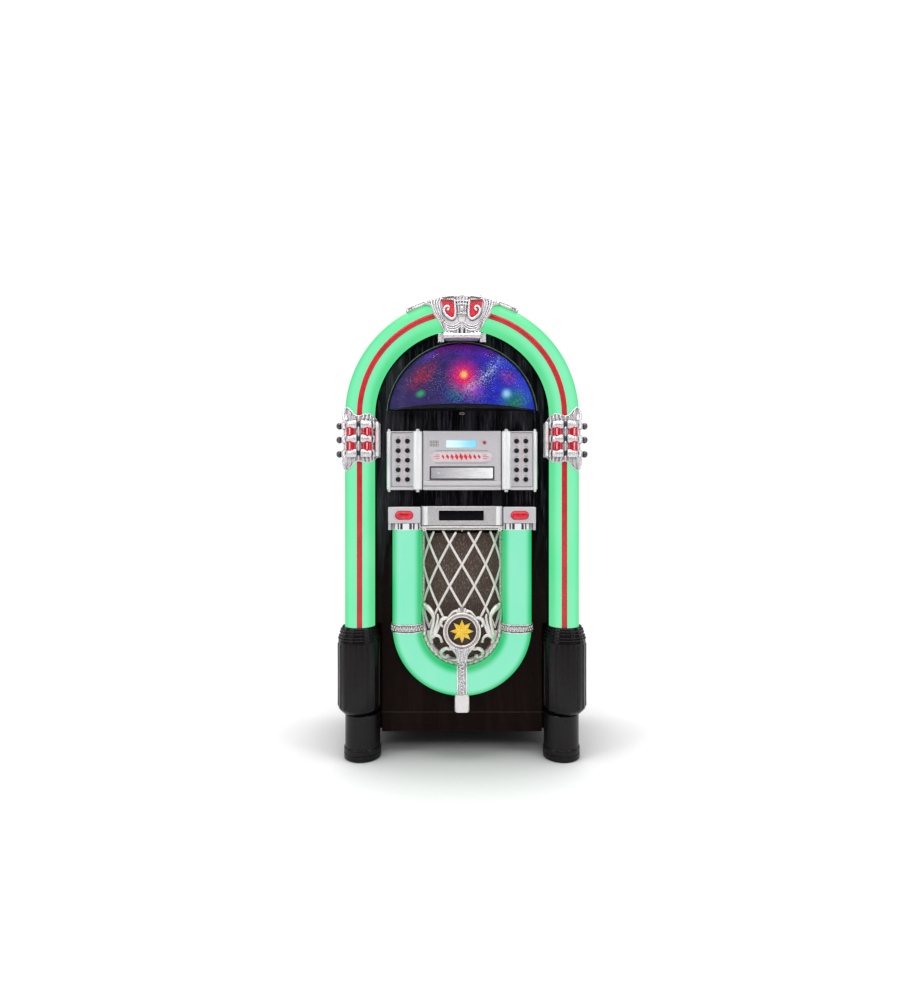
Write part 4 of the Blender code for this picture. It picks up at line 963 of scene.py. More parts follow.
def collar(side):
    """The wall of the collar that the lower tube runs into, dark with painted shade between the light ribs."""
    low, high = HEADER_Z[0] + 0.0004, HEADER_Z[0] + 0.0157
    ring = [[(side * LOWER_X + 0.0348 * math.sin(a), LOWER_Y - 0.0264 * math.cos(a), z)
             for a in full_turn(96)] for z in np.linspace(low, high, 5)]
    return cut_back(skin(ring), UNIT_BACK)


def collar_ribs(side):
    """Light ribs round the collar: a broad one in front and narrower ones round each side."""
    low, high = HEADER_Z[0] + 0.0002, HEADER_Z[0] + 0.0156
    parts = [collar_band(side, -12, 12, 0.0016, low, high)]
    for turn in (-1, 1):
        for start, end in ((22, 26), (33, 47), (56, 74), (83, 98)):
            first, last = sorted((turn * start, turn * end))
            parts.append(collar_band(side, first, last, 0.0016, low, high, 10))
    parts.append(collar_band(side, -110, 110, 0.0020, low, low + 0.0020, 60))
    return merged(*parts)


piece("header_centre", header_centre(), BRUSHED, "chrome", "header")
piece("header_end_bars", header_bars(), PALE, "chrome")
piece("header_rail", header_rail(), SATIN, "chrome", sharp=60)
piece("header_window_glass", plate([rect(-0.0527, 0.5496, 0.0497, 0.5721, 0.0006)], CENTRE_Y + 0.0012,
                                   CENTRE_Y + 0.0030,
                                   0.0003), GLASS, "black_plastic")
piece("header_seams", merged(block((-0.0940, CENTRE_Y + 0.0006, HEADER_Z[0] + 0.0088),
                                   (0.0940, UNIT_BACK - 0.001, HEADER_Z[0] + 0.0106),
                                   0.0002, 1),
                             both_sides(block((0.0920, CENTRE_Y + 0.0004, HEADER_Z[0] + 0.0100),
                                              (0.0950, UNIT_BACK - 0.001, HEADER_Z[1] - 0.0010),
                                              0.0002, 1))), SEAM, "black_plastic")


def cushion(outline, centre, depth, base):
    """A crowned lens: the outline shrinks towards its middle as it rises."""
    levels = [[(centre[0] + x, base, centre[1] + z) for x, z in outline]]
    for t in (0.2, 0.4, 0.6, 0.8, 1.0):
        size = math.cos(t * math.pi / 2 * 0.94)
        levels.append([(centre[0] + x * (0.55 + 0.45 * size), base - depth * math.sin(t * math.pi / 2),
                        centre[1] + z * size) for x, z in outline])
    return skin(levels)


for word, side in SIDES:
    piece(word + "_header_box", on_side(side, header_box()), SILVER, "chrome")
    piece(word + "_header_collar", collar(side), COLLAR_SHADE, "chrome", sharp=60)
    piece(word + "_collar_ribs", collar_ribs(side), PALE, "chrome", sharp=60)
    lens = word + "_header_lens"
    piece(word + "_header_lamp", cushion(stadium(0.0, 0.0, 0.0206, 0.0099, 14), (middle(lens, 0), LENS_AT[1]), 0.0046,
                                         span(lens, 1)[1]), RED_LENS, "red_lens", lens)


# ---- Lower tube -----------------------------------------------------------------------------
def lower_path():
    """Down the left arm, round the bend and up the right arm."""
    top = span("lower_tube", 2)[1]
    left = [(-LOWER_X, z) for z in np.linspace(top, BEND_Z, 10)]
    return [*left[:-1], *arc((0.0, BEND_Z), LOWER_X, 180, 360, 56), *[(-x, z) for x, z in reversed(left[:-1])]]


piece("lower_tube_glow", sweep(lower_path(), oval(LOWER_HALF, LOWER_DEPTH, 44), LOWER_Y), GREEN_LOW, "green_tube",
      "lower_tube")


def lower_ring(side):
    """An ornate clasp round an arm of the lower tube: beads and leaves between two rolled rims."""
    centre = BEND_Z - 0.0020
    section = oval(1.0, 1.0, 64)
    bands = []
    for z, half, reach in ((centre - 0.0088, 0.0016, 0.0030), (centre, 0.0080, 0.0012),
                           (centre + 0.0088, 0.0016, 0.0030)):
        rings = []
        for dz, size in ((-half, 0.3), (-half * 0.7, 0.9), (0.0, 1.0), (half * 0.7, 0.9), (half, 0.3)):
            rings.append([(side * LOWER_X + (LOWER_HALF + reach * size) * u, LOWER_Y - (LOWER_DEPTH + reach * size) * v,
                           z + dz)
                          for u, v in section])
        bands.append(cut_back(skin(rings), UNIT_BACK))
    for step in range(-13, 14):
        a = math.radians(step * 7)
        across, forward = math.sin(a), math.cos(a)
        spot = Vector((side * LOWER_X + (LOWER_HALF + 0.0016) * across, LOWER_Y - (LOWER_DEPTH + 0.0016) * forward,
                       centre))
        lean = 0.0032 if step % 2 else -0.0032
        bands.append(ball(spot + Vector((0, 0, lean)), (0.0021, 0.0018, 0.0030), 10))
        bands.append(ball(spot - Vector((0, 0, lean * 1.3)), (0.0013, 0.0014, 0.0016), 8))
    return merged(*bands)


for word, side in SIDES:
    piece(word + "_tube_clasp", lower_ring(side), CONTRAST, "chrome", sharp=50)


# ---- Speaker grille -------------------------------------------------------------------------
GRILLE_BULGE = 0.038
GRILLE_TOP = 0.5235
SIDE_ANGLE = 68.0               # the rounded front spans this angle to each side
ROW_Z = 0.4487                  # height of one row of crossings
ROW_RISE = 0.0490               # height and angle from one row to the next
ROW_ANGLE = 16.4


def half_width(z):
    """Half the grille's width at a height: straight sides over a round foot."""
    return GRILLE_X if z >= BEND_Z else math.sqrt(max(GRILLE_X ** 2 - (BEND_Z - z) ** 2, 1e-9))


def bulged(angle, z, out=0.0):
    """The place on the rounded front for an angle from its middle."""
    wide, edge = half_width(z), math.radians(SIDE_ANGLE)
    turn = math.radians(angle)
    rise = (math.cos(turn) - math.cos(edge)) / (1 - math.cos(edge))
    return Vector((wide * math.sin(turn) / math.sin(edge), RIM_Y - GRILLE_BULGE * wide / GRILLE_X * rise - out, z))


def on_grille(x, z, out=0.0):
    """The place on the rounded front above a point given across and up."""
    share = min(1.0, abs(x) / half_width(z)) * math.sin(math.radians(SIDE_ANGLE))
    return bulged(math.copysign(math.degrees(math.asin(share)), x), z, out)


def lattice():
    """Two families of crossing bars, the lead at their crossings, and the rail along their top."""
    low, high = 0.300, 0.5250
    bars = []
    for family in range(-4, 5):
        for slope in (-1, 1):
            heights = [(angle, ROW_Z + 2 * ROW_RISE * family + slope * ROW_RISE * angle / ROW_ANGLE)
                       for angle in np.arange(-SIDE_ANGLE, SIDE_ANGLE + 0.1, 1.7)]
            run = [bulged(angle, z) for angle, z in heights if low <= z <= high]
            if len(run) > 2:
                bars.append(rod(run, 0.0028, 10, 0.8))
                bars.append(rod([p + Vector((0, -0.0017, 0)) for p in run], 0.0010, 6))
    for row in range(-2, 2):
        for step in range(-4, 5):
            if (step + row) % 2 == 0 and abs(step * ROW_ANGLE) < SIDE_ANGLE:
                bars.append(ball(bulged(step * ROW_ANGLE, ROW_Z + row * ROW_RISE), (0.0034, 0.0026, 0.0052), 12))
    rail = []
    for angle in np.arange(-SIDE_ANGLE, SIDE_ANGLE + 0.1, 3.4):
        spot = bulged(angle, 0.0)
        out = Vector((math.sin(math.radians(angle)), -math.cos(math.radians(angle)), 0.0)) * 0.0012
        rail.append([spot + out * way + Vector((0, 0, z))
                     for way, z in ((1, 0.5222), (1, 0.5268), (-1, 0.5268), (-1, 0.5222))])
    bars.append(skin(rail))
    for side in (-1, 1):
        edge = [bulged(side * SIDE_ANGLE, z) + Vector((0, -0.0015, 0)) for z in np.linspace(0.345, 0.522, 9)]
        bars.append(rod(edge, 0.0022, 8))
    return merged(*bars)


def grille_rim():
    """The U-shaped frame round the lattice: narrow at the sides, and a broad band round the foot."""
    rings = []
    path = [*[(-1.0, z) for z in np.linspace(GRILLE_TOP, BEND_Z + 0.004, 8)], *arc((0.0, BEND_Z), 1.0, 180, 360, 44),
            *[(1.0, z) for z in np.linspace(BEND_Z + 0.004, GRILLE_TOP, 8)]]
    for x, z in path:
        slope = math.degrees(math.asin(min(1.0, BEND_Z - z))) if z <= BEND_Z else -8.0
        foot = min(1.0, (slope + 8) / 26)
        width = 0.0062 + 0.0060 * foot
        ray = Vector((x, 0.0, min(0.0, z - BEND_Z))).normalized()
        base = Vector((0.0, 0.0, max(z, BEND_Z)))
        outer, inner = GRILLE_X - 0.0002 + 0.0060 * foot, GRILLE_X - width
        rise = 0.0110 * foot
        ring = []
        for reach, y in ((outer, PANEL_Y - 0.0004), (outer, PANEL_Y - 0.0080 - rise),
                         (outer - 0.0010, PANEL_Y - 0.0094 - rise),
                         ((outer + inner) / 2, PANEL_Y - 0.0112 - rise),
                         (inner + 0.0010, PANEL_Y - 0.0094 - rise), (inner, PANEL_Y - 0.0080 - rise),
                         (inner, PANEL_Y - 0.0004)):
            spot = base + ray * reach
            ring.append((spot.x, y, spot.z))
        rings.append(ring)
    scallops = []
    for degrees in range(-78, 79, 9):
        a = math.radians(degrees)
        if abs(degrees) > 6:
            scallops.append(ball((0.0905 * math.sin(a), PANEL_Y - 0.0216, BEND_Z - 0.0905 * math.cos(a)),
                                 (0.0056, 0.0026, 0.0056), 12))
    for side in (-1, 1):
        for z in np.arange(0.3780, 0.5180, 0.0088):
            scallops.append(ball((side * 0.0898, PANEL_Y - 0.0108, z), (0.0026, 0.0018, 0.0042), 10))
    return merged(skin(rings), *scallops)


piece("grille_lattice", lattice(), SATIN, "chrome", "speaker_grille", sharp=60)
piece("grille_rim", grille_rim(), SATIN, "chrome", sharp=60)


CLOTH_X = GRILLE_X - 0.0060
CLOTH_TOP = 0.5190


def stretched_cloth():
    """The cloth behind the lattice: one sheet, pulled flat, with its edge turned back."""
    wide, back = CLOTH_X, PANEL_Y - 0.0026
    rows = []
    low, high = BEND_Z - wide + 0.0002, CLOTH_TOP
    for z in [*[BEND_Z - wide * math.cos(t) for t in np.linspace(0.02, math.pi / 2, 24)][:-1],
              *np.linspace(BEND_Z, high, 30)]:
        half = wide if z >= BEND_Z else math.sqrt(max(wide ** 2 - (BEND_Z - z) ** 2, 1e-8))
        rows.append([(half * u, back - 0.0006 * (1 - u * u) * (1 if low < z < high else 0), z)
                     for u in np.linspace(-1, 1, 33)])
    return skin(rows, open_ring=True)


cloth = piece("speaker_cloth", stretched_cloth(), CLOTH, "brown_cloth", "grille_cloth", modify=thickened(0.0008, 1.0))


def ring_part(radius, width, depth, y):
    """A rounded ring round the medallion's middle."""
    return sweep(arc((0.0, STAR_Z), radius, 0, 355, 72), oval(width, depth, 14), y, loop=True)


def scroll(points, radii, out, sides=10, flat=0.8):
    """A tapering scroll that follows the grille's front. Points are (across, up)."""
    path = smooth_path([(x, 0.0, z) for x, z in points], 5)
    return rod([on_grille(p.x, p.z, out) for p in path], radii, sides, flat)


def rosette(x, z, radius, out):
    """A ball with a smaller one on it."""
    spot = on_grille(x, z, out)
    return merged(ball(spot, (radius, radius * 0.8, radius), 14),
                  ball(spot + Vector((0, -radius * 0.6, 0)), (radius * 0.5,) * 3, 10))


def medallion():
    """A flat ring with two rolled rims and a row of beads between them."""
    front = MEDALLION_Y
    parts = [plate([circle(0.0, STAR_Z, 0.0425, 72), circle(0.0, STAR_Z, 0.0320, 72)], front - 0.0030, front + 0.0100,
                   0.0016),
             ring_part(0.0408, 0.0023, 0.0034, front - 0.0026), ring_part(0.0338, 0.0018, 0.0030, front - 0.0026)]
    for step in range(36):
        a = 2 * math.pi * step / 36
        parts.append(ball((0.0373 * math.cos(a), front - 0.0032, STAR_Z + 0.0373 * math.sin(a)),
                          (0.0017, 0.0014, 0.0017), 8))
    return merged(*parts)


def medallion_leaves():
    """Crest, ears, side bands and scrolls on the right half; the left is its mirror."""
    strands = [
        # shoulder along the ring, rising to the crest
        ([(0.0318, 0.3180), (0.0302, 0.3262), (0.0250, 0.3340), (0.0197, 0.3408), (0.0110, 0.3452)],
         [0.0034, 0.0044, 0.0040, 0.0034, 0.0026], 0.0055),
        # crest lobes
        ([(0.0, 0.3390), (0.0, 0.3460), (0.0, 0.3515)], [0.0046, 0.0042, 0.0026], 0.0072),
        ([(0.0040, 0.3390), (0.0062, 0.3450), (0.0070, 0.3490)], [0.0038, 0.0036, 0.0024], 0.0068),
        ([(0.0080, 0.3380), (0.0115, 0.3420), (0.0150, 0.3440)], [0.0038, 0.0034, 0.0022], 0.0062),
        # ear: out from the shoulder, then down beside the ring
        ([(0.0302, 0.3258), (0.0380, 0.3262), (0.0460, 0.3225), (0.0482, 0.3140), (0.0448, 0.3068)],
         [0.0038, 0.0044, 0.0046, 0.0040, 0.0026], 0.0050),
        # inner strands from the ear and from the lattice, down to the lower curl
        ([(0.0462, 0.3222), (0.0510, 0.3120), (0.0570, 0.2980), (0.0625, 0.2860)], [0.0028, 0.0032, 0.0040, 0.0054],
         0.0035),
        ([(0.0560, 0.3330), (0.0552, 0.3230), (0.0580, 0.3080), (0.0640, 0.2880)], [0.0022, 0.0034, 0.0042, 0.0056],
         0.0030),
        # side band with a broad head against the rim, narrowing past the oval hole
        ([(0.0880, 0.3500), (0.0800, 0.3470), (0.0723, 0.3400), (0.0660, 0.3290), (0.0654, 0.3160), (0.0680, 0.3020),
          (0.0705, 0.2880),
          (0.0728, 0.2740)], [0.0052, 0.0070, 0.0058, 0.0046, 0.0042, 0.0048, 0.0062, 0.0056], 0.0024),
        # scalloped edge along the rim
        ([(0.0915, 0.3540), (0.0905, 0.3380), (0.0895, 0.3230), (0.0893, 0.3080), (0.0870, 0.2940), (0.0840, 0.2820),
          (0.0780, 0.2680)],
         [0.0040, 0.0046, 0.0036, 0.0040, 0.0056, 0.0062, 0.0050], 0.0004),
        ([(0.0770, 0.2900), (0.0745, 0.2780), (0.0700, 0.2660)], [0.0050, 0.0056, 0.0040], 0.0012),
        # small curl with a ball at its end
        ([(0.0690, 0.2800), (0.0630, 0.2845), (0.0565, 0.2854), (0.0500, 0.2815), (0.0466, 0.2740)],
         [0.0054, 0.0046, 0.0040, 0.0034, 0.0028], 0.0040),
        # large C-scroll below the ring
        ([(0.0200, 0.2560), (0.0290, 0.2552), (0.0372, 0.2556), (0.0450, 0.2505), (0.0484, 0.2425), (0.0450, 0.2352),
          (0.0372, 0.2322),
          (0.0306, 0.2352)], [0.0036, 0.0038, 0.0042, 0.0046, 0.0046, 0.0042, 0.0042, 0.0034], 0.0045),
        # root of the neck, and the strand that joins it to the rim
        ([(0.0250, 0.2620), (0.0180, 0.2545), (0.0115, 0.2430), (0.0100, 0.2330)], [0.0052, 0.0048, 0.0036, 0.0030],
         0.0060),
        ([(0.0080, 0.2290), (0.0160, 0.2255), (0.0250, 0.2262)], [0.0044, 0.0036, 0.0022], 0.0030),
    ]
    parts = [scroll(points, radii, out, 12, 0.8) for points, radii, out in strands]
    for x, z, radius, out in ((0.0466, 0.2722, 0.0036, 0.0045), (0.0330, 0.2372, 0.0042, 0.0050),
                              (0.0440, 0.3082, 0.0030, 0.0055),
                              (0.0470, 0.3215, 0.0032, 0.0058), (0.0868, 0.3512, 0.0060, 0.0020),
                              (0.0895, 0.3290, 0.0032, 0.0012),
                              (0.0893, 0.3130, 0.0030, 0.0012), (0.0700, 0.2790, 0.0052, 0.0030)):
        parts.append(rosette(x, z, radius, out))
    return merged(*parts)


def neck():
    """The flared upright below the medallion, with a rib in its middle and one down each edge."""
    front = CLIP_Y
    board = plate([[(-0.0078, 0.2250), (0.0078, 0.2250), (0.0125, 0.2590), (-0.0125, 0.2590)]], front + 0.0035,
                  front + 0.0200, 0.0014)
    edge = rod([(0.0128, front + 0.0045, 0.2590), (0.0090, front + 0.0035, 0.2450), (0.0086, front + 0.0030, 0.2290)],
               [0.0026, 0.0020, 0.0020], 10)
    rib = rod([(0.0, front + 0.0040, 0.2560), (0.0, front + 0.0028, 0.2420), (0.0, front + 0.0028, 0.2290)],
              [0.0036, 0.0024, 0.0018], 12)
    return merged(board, both_sides(edge), rib)


def strip_beads():
    """The ornate strip below the neck: curls and beads between two rails."""
    front = CLIP_Y
    parts = [block((-0.0112, front + 0.0022, 0.1545), (0.0112, front + 0.0066, 0.2270), 0.0012)]
    for side in (-1, 1):
        parts.append(rod([(side * 0.0100, front + 0.0024, z) for z in np.linspace(0.1570, 0.2250, 5)], 0.0018, 10))
    for number in range(9):
        z = 0.1610 + number * 0.0078
        turn = 1 if number % 2 else -1      # the curls face right and left in turn
        curl = smooth_path([(turn * 0.0062, front + 0.0022, z - 0.0030), (turn * 0.0010, front + 0.0016, z - 0.0034),
                            (-turn * 0.0050, front + 0.0018, z), (-turn * 0.0016, front + 0.0016, z + 0.0030),
                            (turn * 0.0040, front + 0.0020, z + 0.0018)], 4)
        parts.append(rod(curl, [0.0010, 0.0017, 0.0020, 0.0016, 0.0009], 8))
        parts.append(ball((turn * 0.0068, front + 0.0022, z + 0.0006), (0.0016, 0.0014, 0.0020), 8))
    return merged(*parts)


piece("medallion_ring", medallion(), SATIN, "chrome", sharp=50)
piece("medallion_leaves", both_sides(medallion_leaves()), SATIN, "chrome", sharp=70)
piece("medallion_neck", neck(), BRIGHT, "chrome", sharp=50)
piece("clip_strip", strip_beads(), CONTRAST, "chrome", sharp=60)
CAP_SILVER = plain("cap_silver", (214, 208, 210), (228, 223, 224), (0.30, 0.40), 0.5, (120.0, (1, 1, 1)),
                   (600.0, 0.00005))
cap_low = span("speaker_grille", 2)[0]
cap_base = rect(-0.0166, cap_low, 0.0166, 0.1448, 0.0045, 5)
cap_side = [*arc((0.0095, cap_low + 0.0062), 0.0056, -88, 0, 6), (0.0160, 0.1350), (0.0164, 0.1500), (0.0140, 0.1556)]
cap_hood = [*cap_side, *[(-x, z) for x, z in reversed(cap_side)]]
piece("clip_cap_cast", merged(plate([cap_base], CLIP_Y + 0.0050, PANEL_Y - 0.0004, 0.0020),
                              plate([cap_hood], CLIP_Y + 0.0002, CLIP_Y + 0.0066, 0.0022)), CAP_SILVER, "chrome",
      sharp=60)


def star_part():
    """An eight-pointed star with raised facets."""
    low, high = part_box("grille_star")
    reach = half_size("grille_star", 0)
    outline = []
    for point in range(16):
        a = math.radians(22.5 * point)
        size = reach if point % 2 == 0 else reach * 0.526
        outline.append((size * math.sin(a), STAR_Z + size * math.cos(a)))
    points = [(x, high[1], z) for x, z in outline] + [(x, high[1] - 0.0014, z) for x, z in outline]
    points += [(0.0, low[1] - 0.0006, STAR_Z), (0.0, high[1], STAR_Z)]
    faces = []
    for spot in range(16):
        beside = (spot + 1) % 16
        faces += [[spot, beside, beside + 16, spot + 16], [spot + 16, beside + 16, 32], [spot, beside, 33]]
    return points, faces


piece("star_facets", star_part(), STAR, "yellow_star", "grille_star", sharp=5)
STAR_BED = plain("star_bed", (40, 33, 30), (62, 52, 47), (0.6, 0.8), grain=(300.0, (1, 1, 1)))
piece("star_bed", plate([circle(0.0, STAR_Z, 0.0330, 64)], MEDALLION_Y + 0.0022, MEDALLION_Y + 0.0060, 0.0005),
      STAR_BED,
      "brown_cloth")


# ---- Dome window ----------------------------------------------------------------------------
def dome_shell():
    """Clear moulding: an outer and an inner bulge, cut off level at the foot."""
    def surface(shrink):
        ball_part = lathe([(math.cos(t), math.sin(t)) for t in np.linspace(0.0, math.pi / 2, 22)], (0, 0, 0), "-Y", 72)
        return moved(ball_part, lambda p: Vector((p.x * (WINDOW_R - shrink),
                                                  PANEL_Y - 0.0004 + p.y * (WINDOW_BULGE - shrink),
                                                  ARCH_Z + p.z * (WINDOW_R - shrink))))
    work = bmesh.new()
    for part, inner in ((surface(0.0), False), (surface(0.0016), True)):
        made = [work.verts.new(p) for p in part[0]]
        for face in part[1]:
            if len(face) == 4:
                work.faces.new([made[i] for i in (reversed(face) if inner else face)])
    bmesh.ops.remove_doubles(work, verts=work.verts, dist=0.00005)
    bmesh.ops.bisect_plane(work, geom=[*work.verts, *work.edges, *work.faces], plane_co=(0, 0, WINDOW_FOOT),
                           plane_no=(0, 0, -1), clear_outer=True)
    open_edges = [edge for edge in work.edges if edge.is_boundary]
    bmesh.ops.bridge_loops(work, edges=open_edges)
    return taken(work)


def window_rim(scale=1.0):
    """The path round the window's edge, over the top."""
    start = math.degrees(math.asin((WINDOW_FOOT - ARCH_Z) / WINDOW_R))
    path = arc((0.0, ARCH_Z), WINDOW_R + 0.0006, 180 - start, start, 90)
    return [(x * scale, ARCH_Z + (z - ARCH_Z) * scale) for x, z in path]


piece("dome_window_shell", dome_shell(), WINDOW, "window_plastic", "dome_window", sharp=60)
RIM_GREEN = plain("rim_gasket", (96, 112, 104), (128, 146, 136), (0.3, 0.45), 0.3, (60.0, (1, 1, 1)))
piece("dome_rim_outer", sweep(window_rim(), oval(0.0013, 0.0018, 10), PANEL_Y - 0.0022), RIM_GREEN, "grey_steel")
piece("dome_rim_inner", sweep(window_rim(0.982), oval(0.0018, 0.0030, 10), PANEL_Y - 0.0035), BLACK, "black_plastic")


def dome_sill():
    """The black sill at the window's foot, arched along its top and following the bulge."""
    rings = []
    for x in np.linspace(-0.1715, 0.1715, 61):
        share = x / 0.1715
        reach = WINDOW_BULGE * math.sqrt(max(0.0, 1 - (x / (WINDOW_R - 0.001)) ** 2)) - 0.0026
        top = WINDOW_FOOT + 0.0006 + 0.0100 * (1 - share ** 2)
        front = PANEL_Y - max(reach, 0.0025)
        rings.append([(x, front, WINDOW_FOOT + 0.0002), (x, front - 0.0006, WINDOW_FOOT + 0.0010),
                      (x, front - 0.0002, top - 0.0006), (x, front + 0.0010, top),
                      (x, front + 0.0060, top - 0.0004), (x, PANEL_Y - 0.0006, WINDOW_FOOT + 0.0040),
                      (x, PANEL_Y - 0.0006, WINDOW_FOOT + 0.0002)])
    return skin(rings)


piece("dome_sill", dome_sill(), BLACK, "black_plastic", sharp=40)


PICTURE_R = 0.1722


def picture_bowl():
    """A shallow dish of foil behind the window: its rim meets the panel's front, its middle is set back."""
    back = span("light_backdrop", 1)[0] - (PANEL_Y + 0.0006)
    rings = [[(PICTURE_R * share * math.cos(a), PANEL_Y + 0.0006 + back * (1 - share ** 2),
               ARCH_Z + PICTURE_R * share * math.sin(a)) for a in full_turn(96)]
             for share in (*np.linspace(1.0, 0.05, 20), 0.0005)]
    work = bmesh.new()
    made = [work.verts.new(p) for ring in rings for p in ring]
    for ring in range(len(rings) - 1):
        for spot in range(96):
            beside = (spot + 1) % 96
            work.faces.new([made[ring * 96 + spot], made[ring * 96 + beside], made[(ring + 1) * 96 + beside],
                            made[(ring + 1) * 96 + spot]])
    bmesh.ops.bisect_plane(work, geom=[*work.verts, *work.edges, *work.faces], plane_co=(0, 0, WINDOW_FOOT - 0.004),
                           plane_no=(0, 0, -1), clear_outer=True)
    return taken(work)


piece("picture_bowl", picture_bowl(), PICTURE, "picture_foil", "light_backdrop", merge=0.0001,
      modify=thickened(0.0012, -1.0))
SENSOR_Z = 0.8003
piece("sensor_window", plate([stadium(0.0, SENSOR_Z, 0.0052, 0.0016)], PANEL_Y - 0.0014, PANEL_Y - 0.0001, 0.0005),
      GLASS, "black_plastic")
piece("sensor_rim", plate([stadium(0.0, SENSOR_Z, 0.0062, 0.0026), stadium(0.0, SENSOR_Z, 0.0054, 0.0018)],
                          PANEL_Y - 0.0018, PANEL_Y - 0.0001, 0.0004), BRUSHED, "satin_silver")
sensor_marks = [ball((x, PANEL_Y - 0.0016, SENSOR_Z), (0.0009, 0.0005, 0.0007), 10) for x in (-0.0026, 0.0, 0.0026)]
piece("sensor_dots", merged(*sensor_marks), BRUSHED, "satin_silver")


# ---- Crown ----------------------------------------------------------------------------------
CROWN_Y = span("crown", 1)[0]
CROWN_FACE = CROWN_Y + 0.0065


def saddle(low_angle, high_angle, half_turn, inner, outer, rounds=10):
    """A curved cover over the tube. The angles go round the tube from its front, positive inwards."""
    angles = np.radians(np.linspace(low_angle, high_angle, 26))
    section = [(outer * math.sin(a), outer * math.cos(a)) for a in angles]
    section += [(inner * math.sin(a), inner * math.cos(a)) for a in reversed(angles)]
    path = arc((0.0, ARCH_Z), TUBE_X, 90 + half_turn, 90 - half_turn, rounds * 3)
    return sweep(path, section, TUBE_Y)


def relief(points, radii, y=CROWN_FACE - 0.0006, sides=12):
    """A raised strand on the crown's front. Points are (across, up)."""
    return rod([(p.x, y, p.z) for p in smooth_path([(x, 0.0, z) for x, z in points], 6)], radii, sides, 0.9)


def crown_face():
    """The flared front plate, in two steps, and the block that joins its foot to the panel."""
    half = [(0.0405, 0.9640), (0.0405, 0.9740), (0.0425, 0.9830), (0.0523, 1.0024), (0.0639, 1.0160), (0.0668, 1.0220),
            (0.0672, 1.0300), (0.0720, 1.0370), (0.0800, 1.0405), (0.0870, 1.0420), (0.0853, 1.0470), (0.0736, 1.0520),
            (0.0581, 1.0553), (0.0493, 1.0535), (0.0466, 1.0500), (0.0180, 1.0510), (0.0180, 1.0560)]
    outline = half + [(-x, z) for x, z in reversed(half)]
    inset = [(x * 0.93, 0.9660 + (z - 0.9640) * 0.965) for x, z in outline]
    return merged(plate([outline], CROWN_FACE + 0.0025, CROWN_FACE + 0.0230, 0.0020),
                  plate([inset], CROWN_FACE, CROWN_FACE + 0.0060, 0.0018),
                  block((-0.0405, CROWN_FACE + 0.0030, 0.9700), (0.0405, PANEL_Y - 0.0006, 0.9900), 0.0015))


def crown_foot():
    """The smooth foot band between two stippled end blocks."""
    band = []
    for x in np.linspace(-0.0420, 0.0420, 25):
        share = (x / 0.0420) ** 2
        band.append([(x, CROWN_FACE - 0.0030 + 0.0010 * share, 0.9636 - 0.0010 * share),
                     (x, CROWN_FACE - 0.0044 + 0.0010 * share, 0.9652 - 0.0010 * share),
                     (x, CROWN_FACE - 0.0044 + 0.0010 * share, 0.9718 + 0.0020 * share),
                     (x, CROWN_FACE - 0.0026 + 0.0010 * share, 0.9740 + 0.0020 * share),
                     (x, CROWN_FACE + 0.0060, 0.9744), (x, CROWN_FACE + 0.0060, 0.9632)])
    parts = [skin(band)]
    for side in (-1, 1):
        x0, x1 = sorted((side * 0.0412, side * 0.0540))
        parts.append(skin([[(x, CROWN_FACE - 0.0010, 0.9540), (x, PANEL_Y - 0.0006, 0.9690),
                            (x, PANEL_Y - 0.0006, 0.9745),
                            (x, CROWN_FACE + 0.0004, 0.9745), (x, CROWN_FACE - 0.0010, 0.9735)] for x in (x0, x1)]))
        for column in range(3):
            for row in range(5):
                parts.append(ball((side * (0.0440 + column * 0.0038), CROWN_FACE - 0.0012, 0.9562 + row * 0.0040),
                                  (0.0014, 0.0010, 0.0014), 8))
    return merged(*parts)


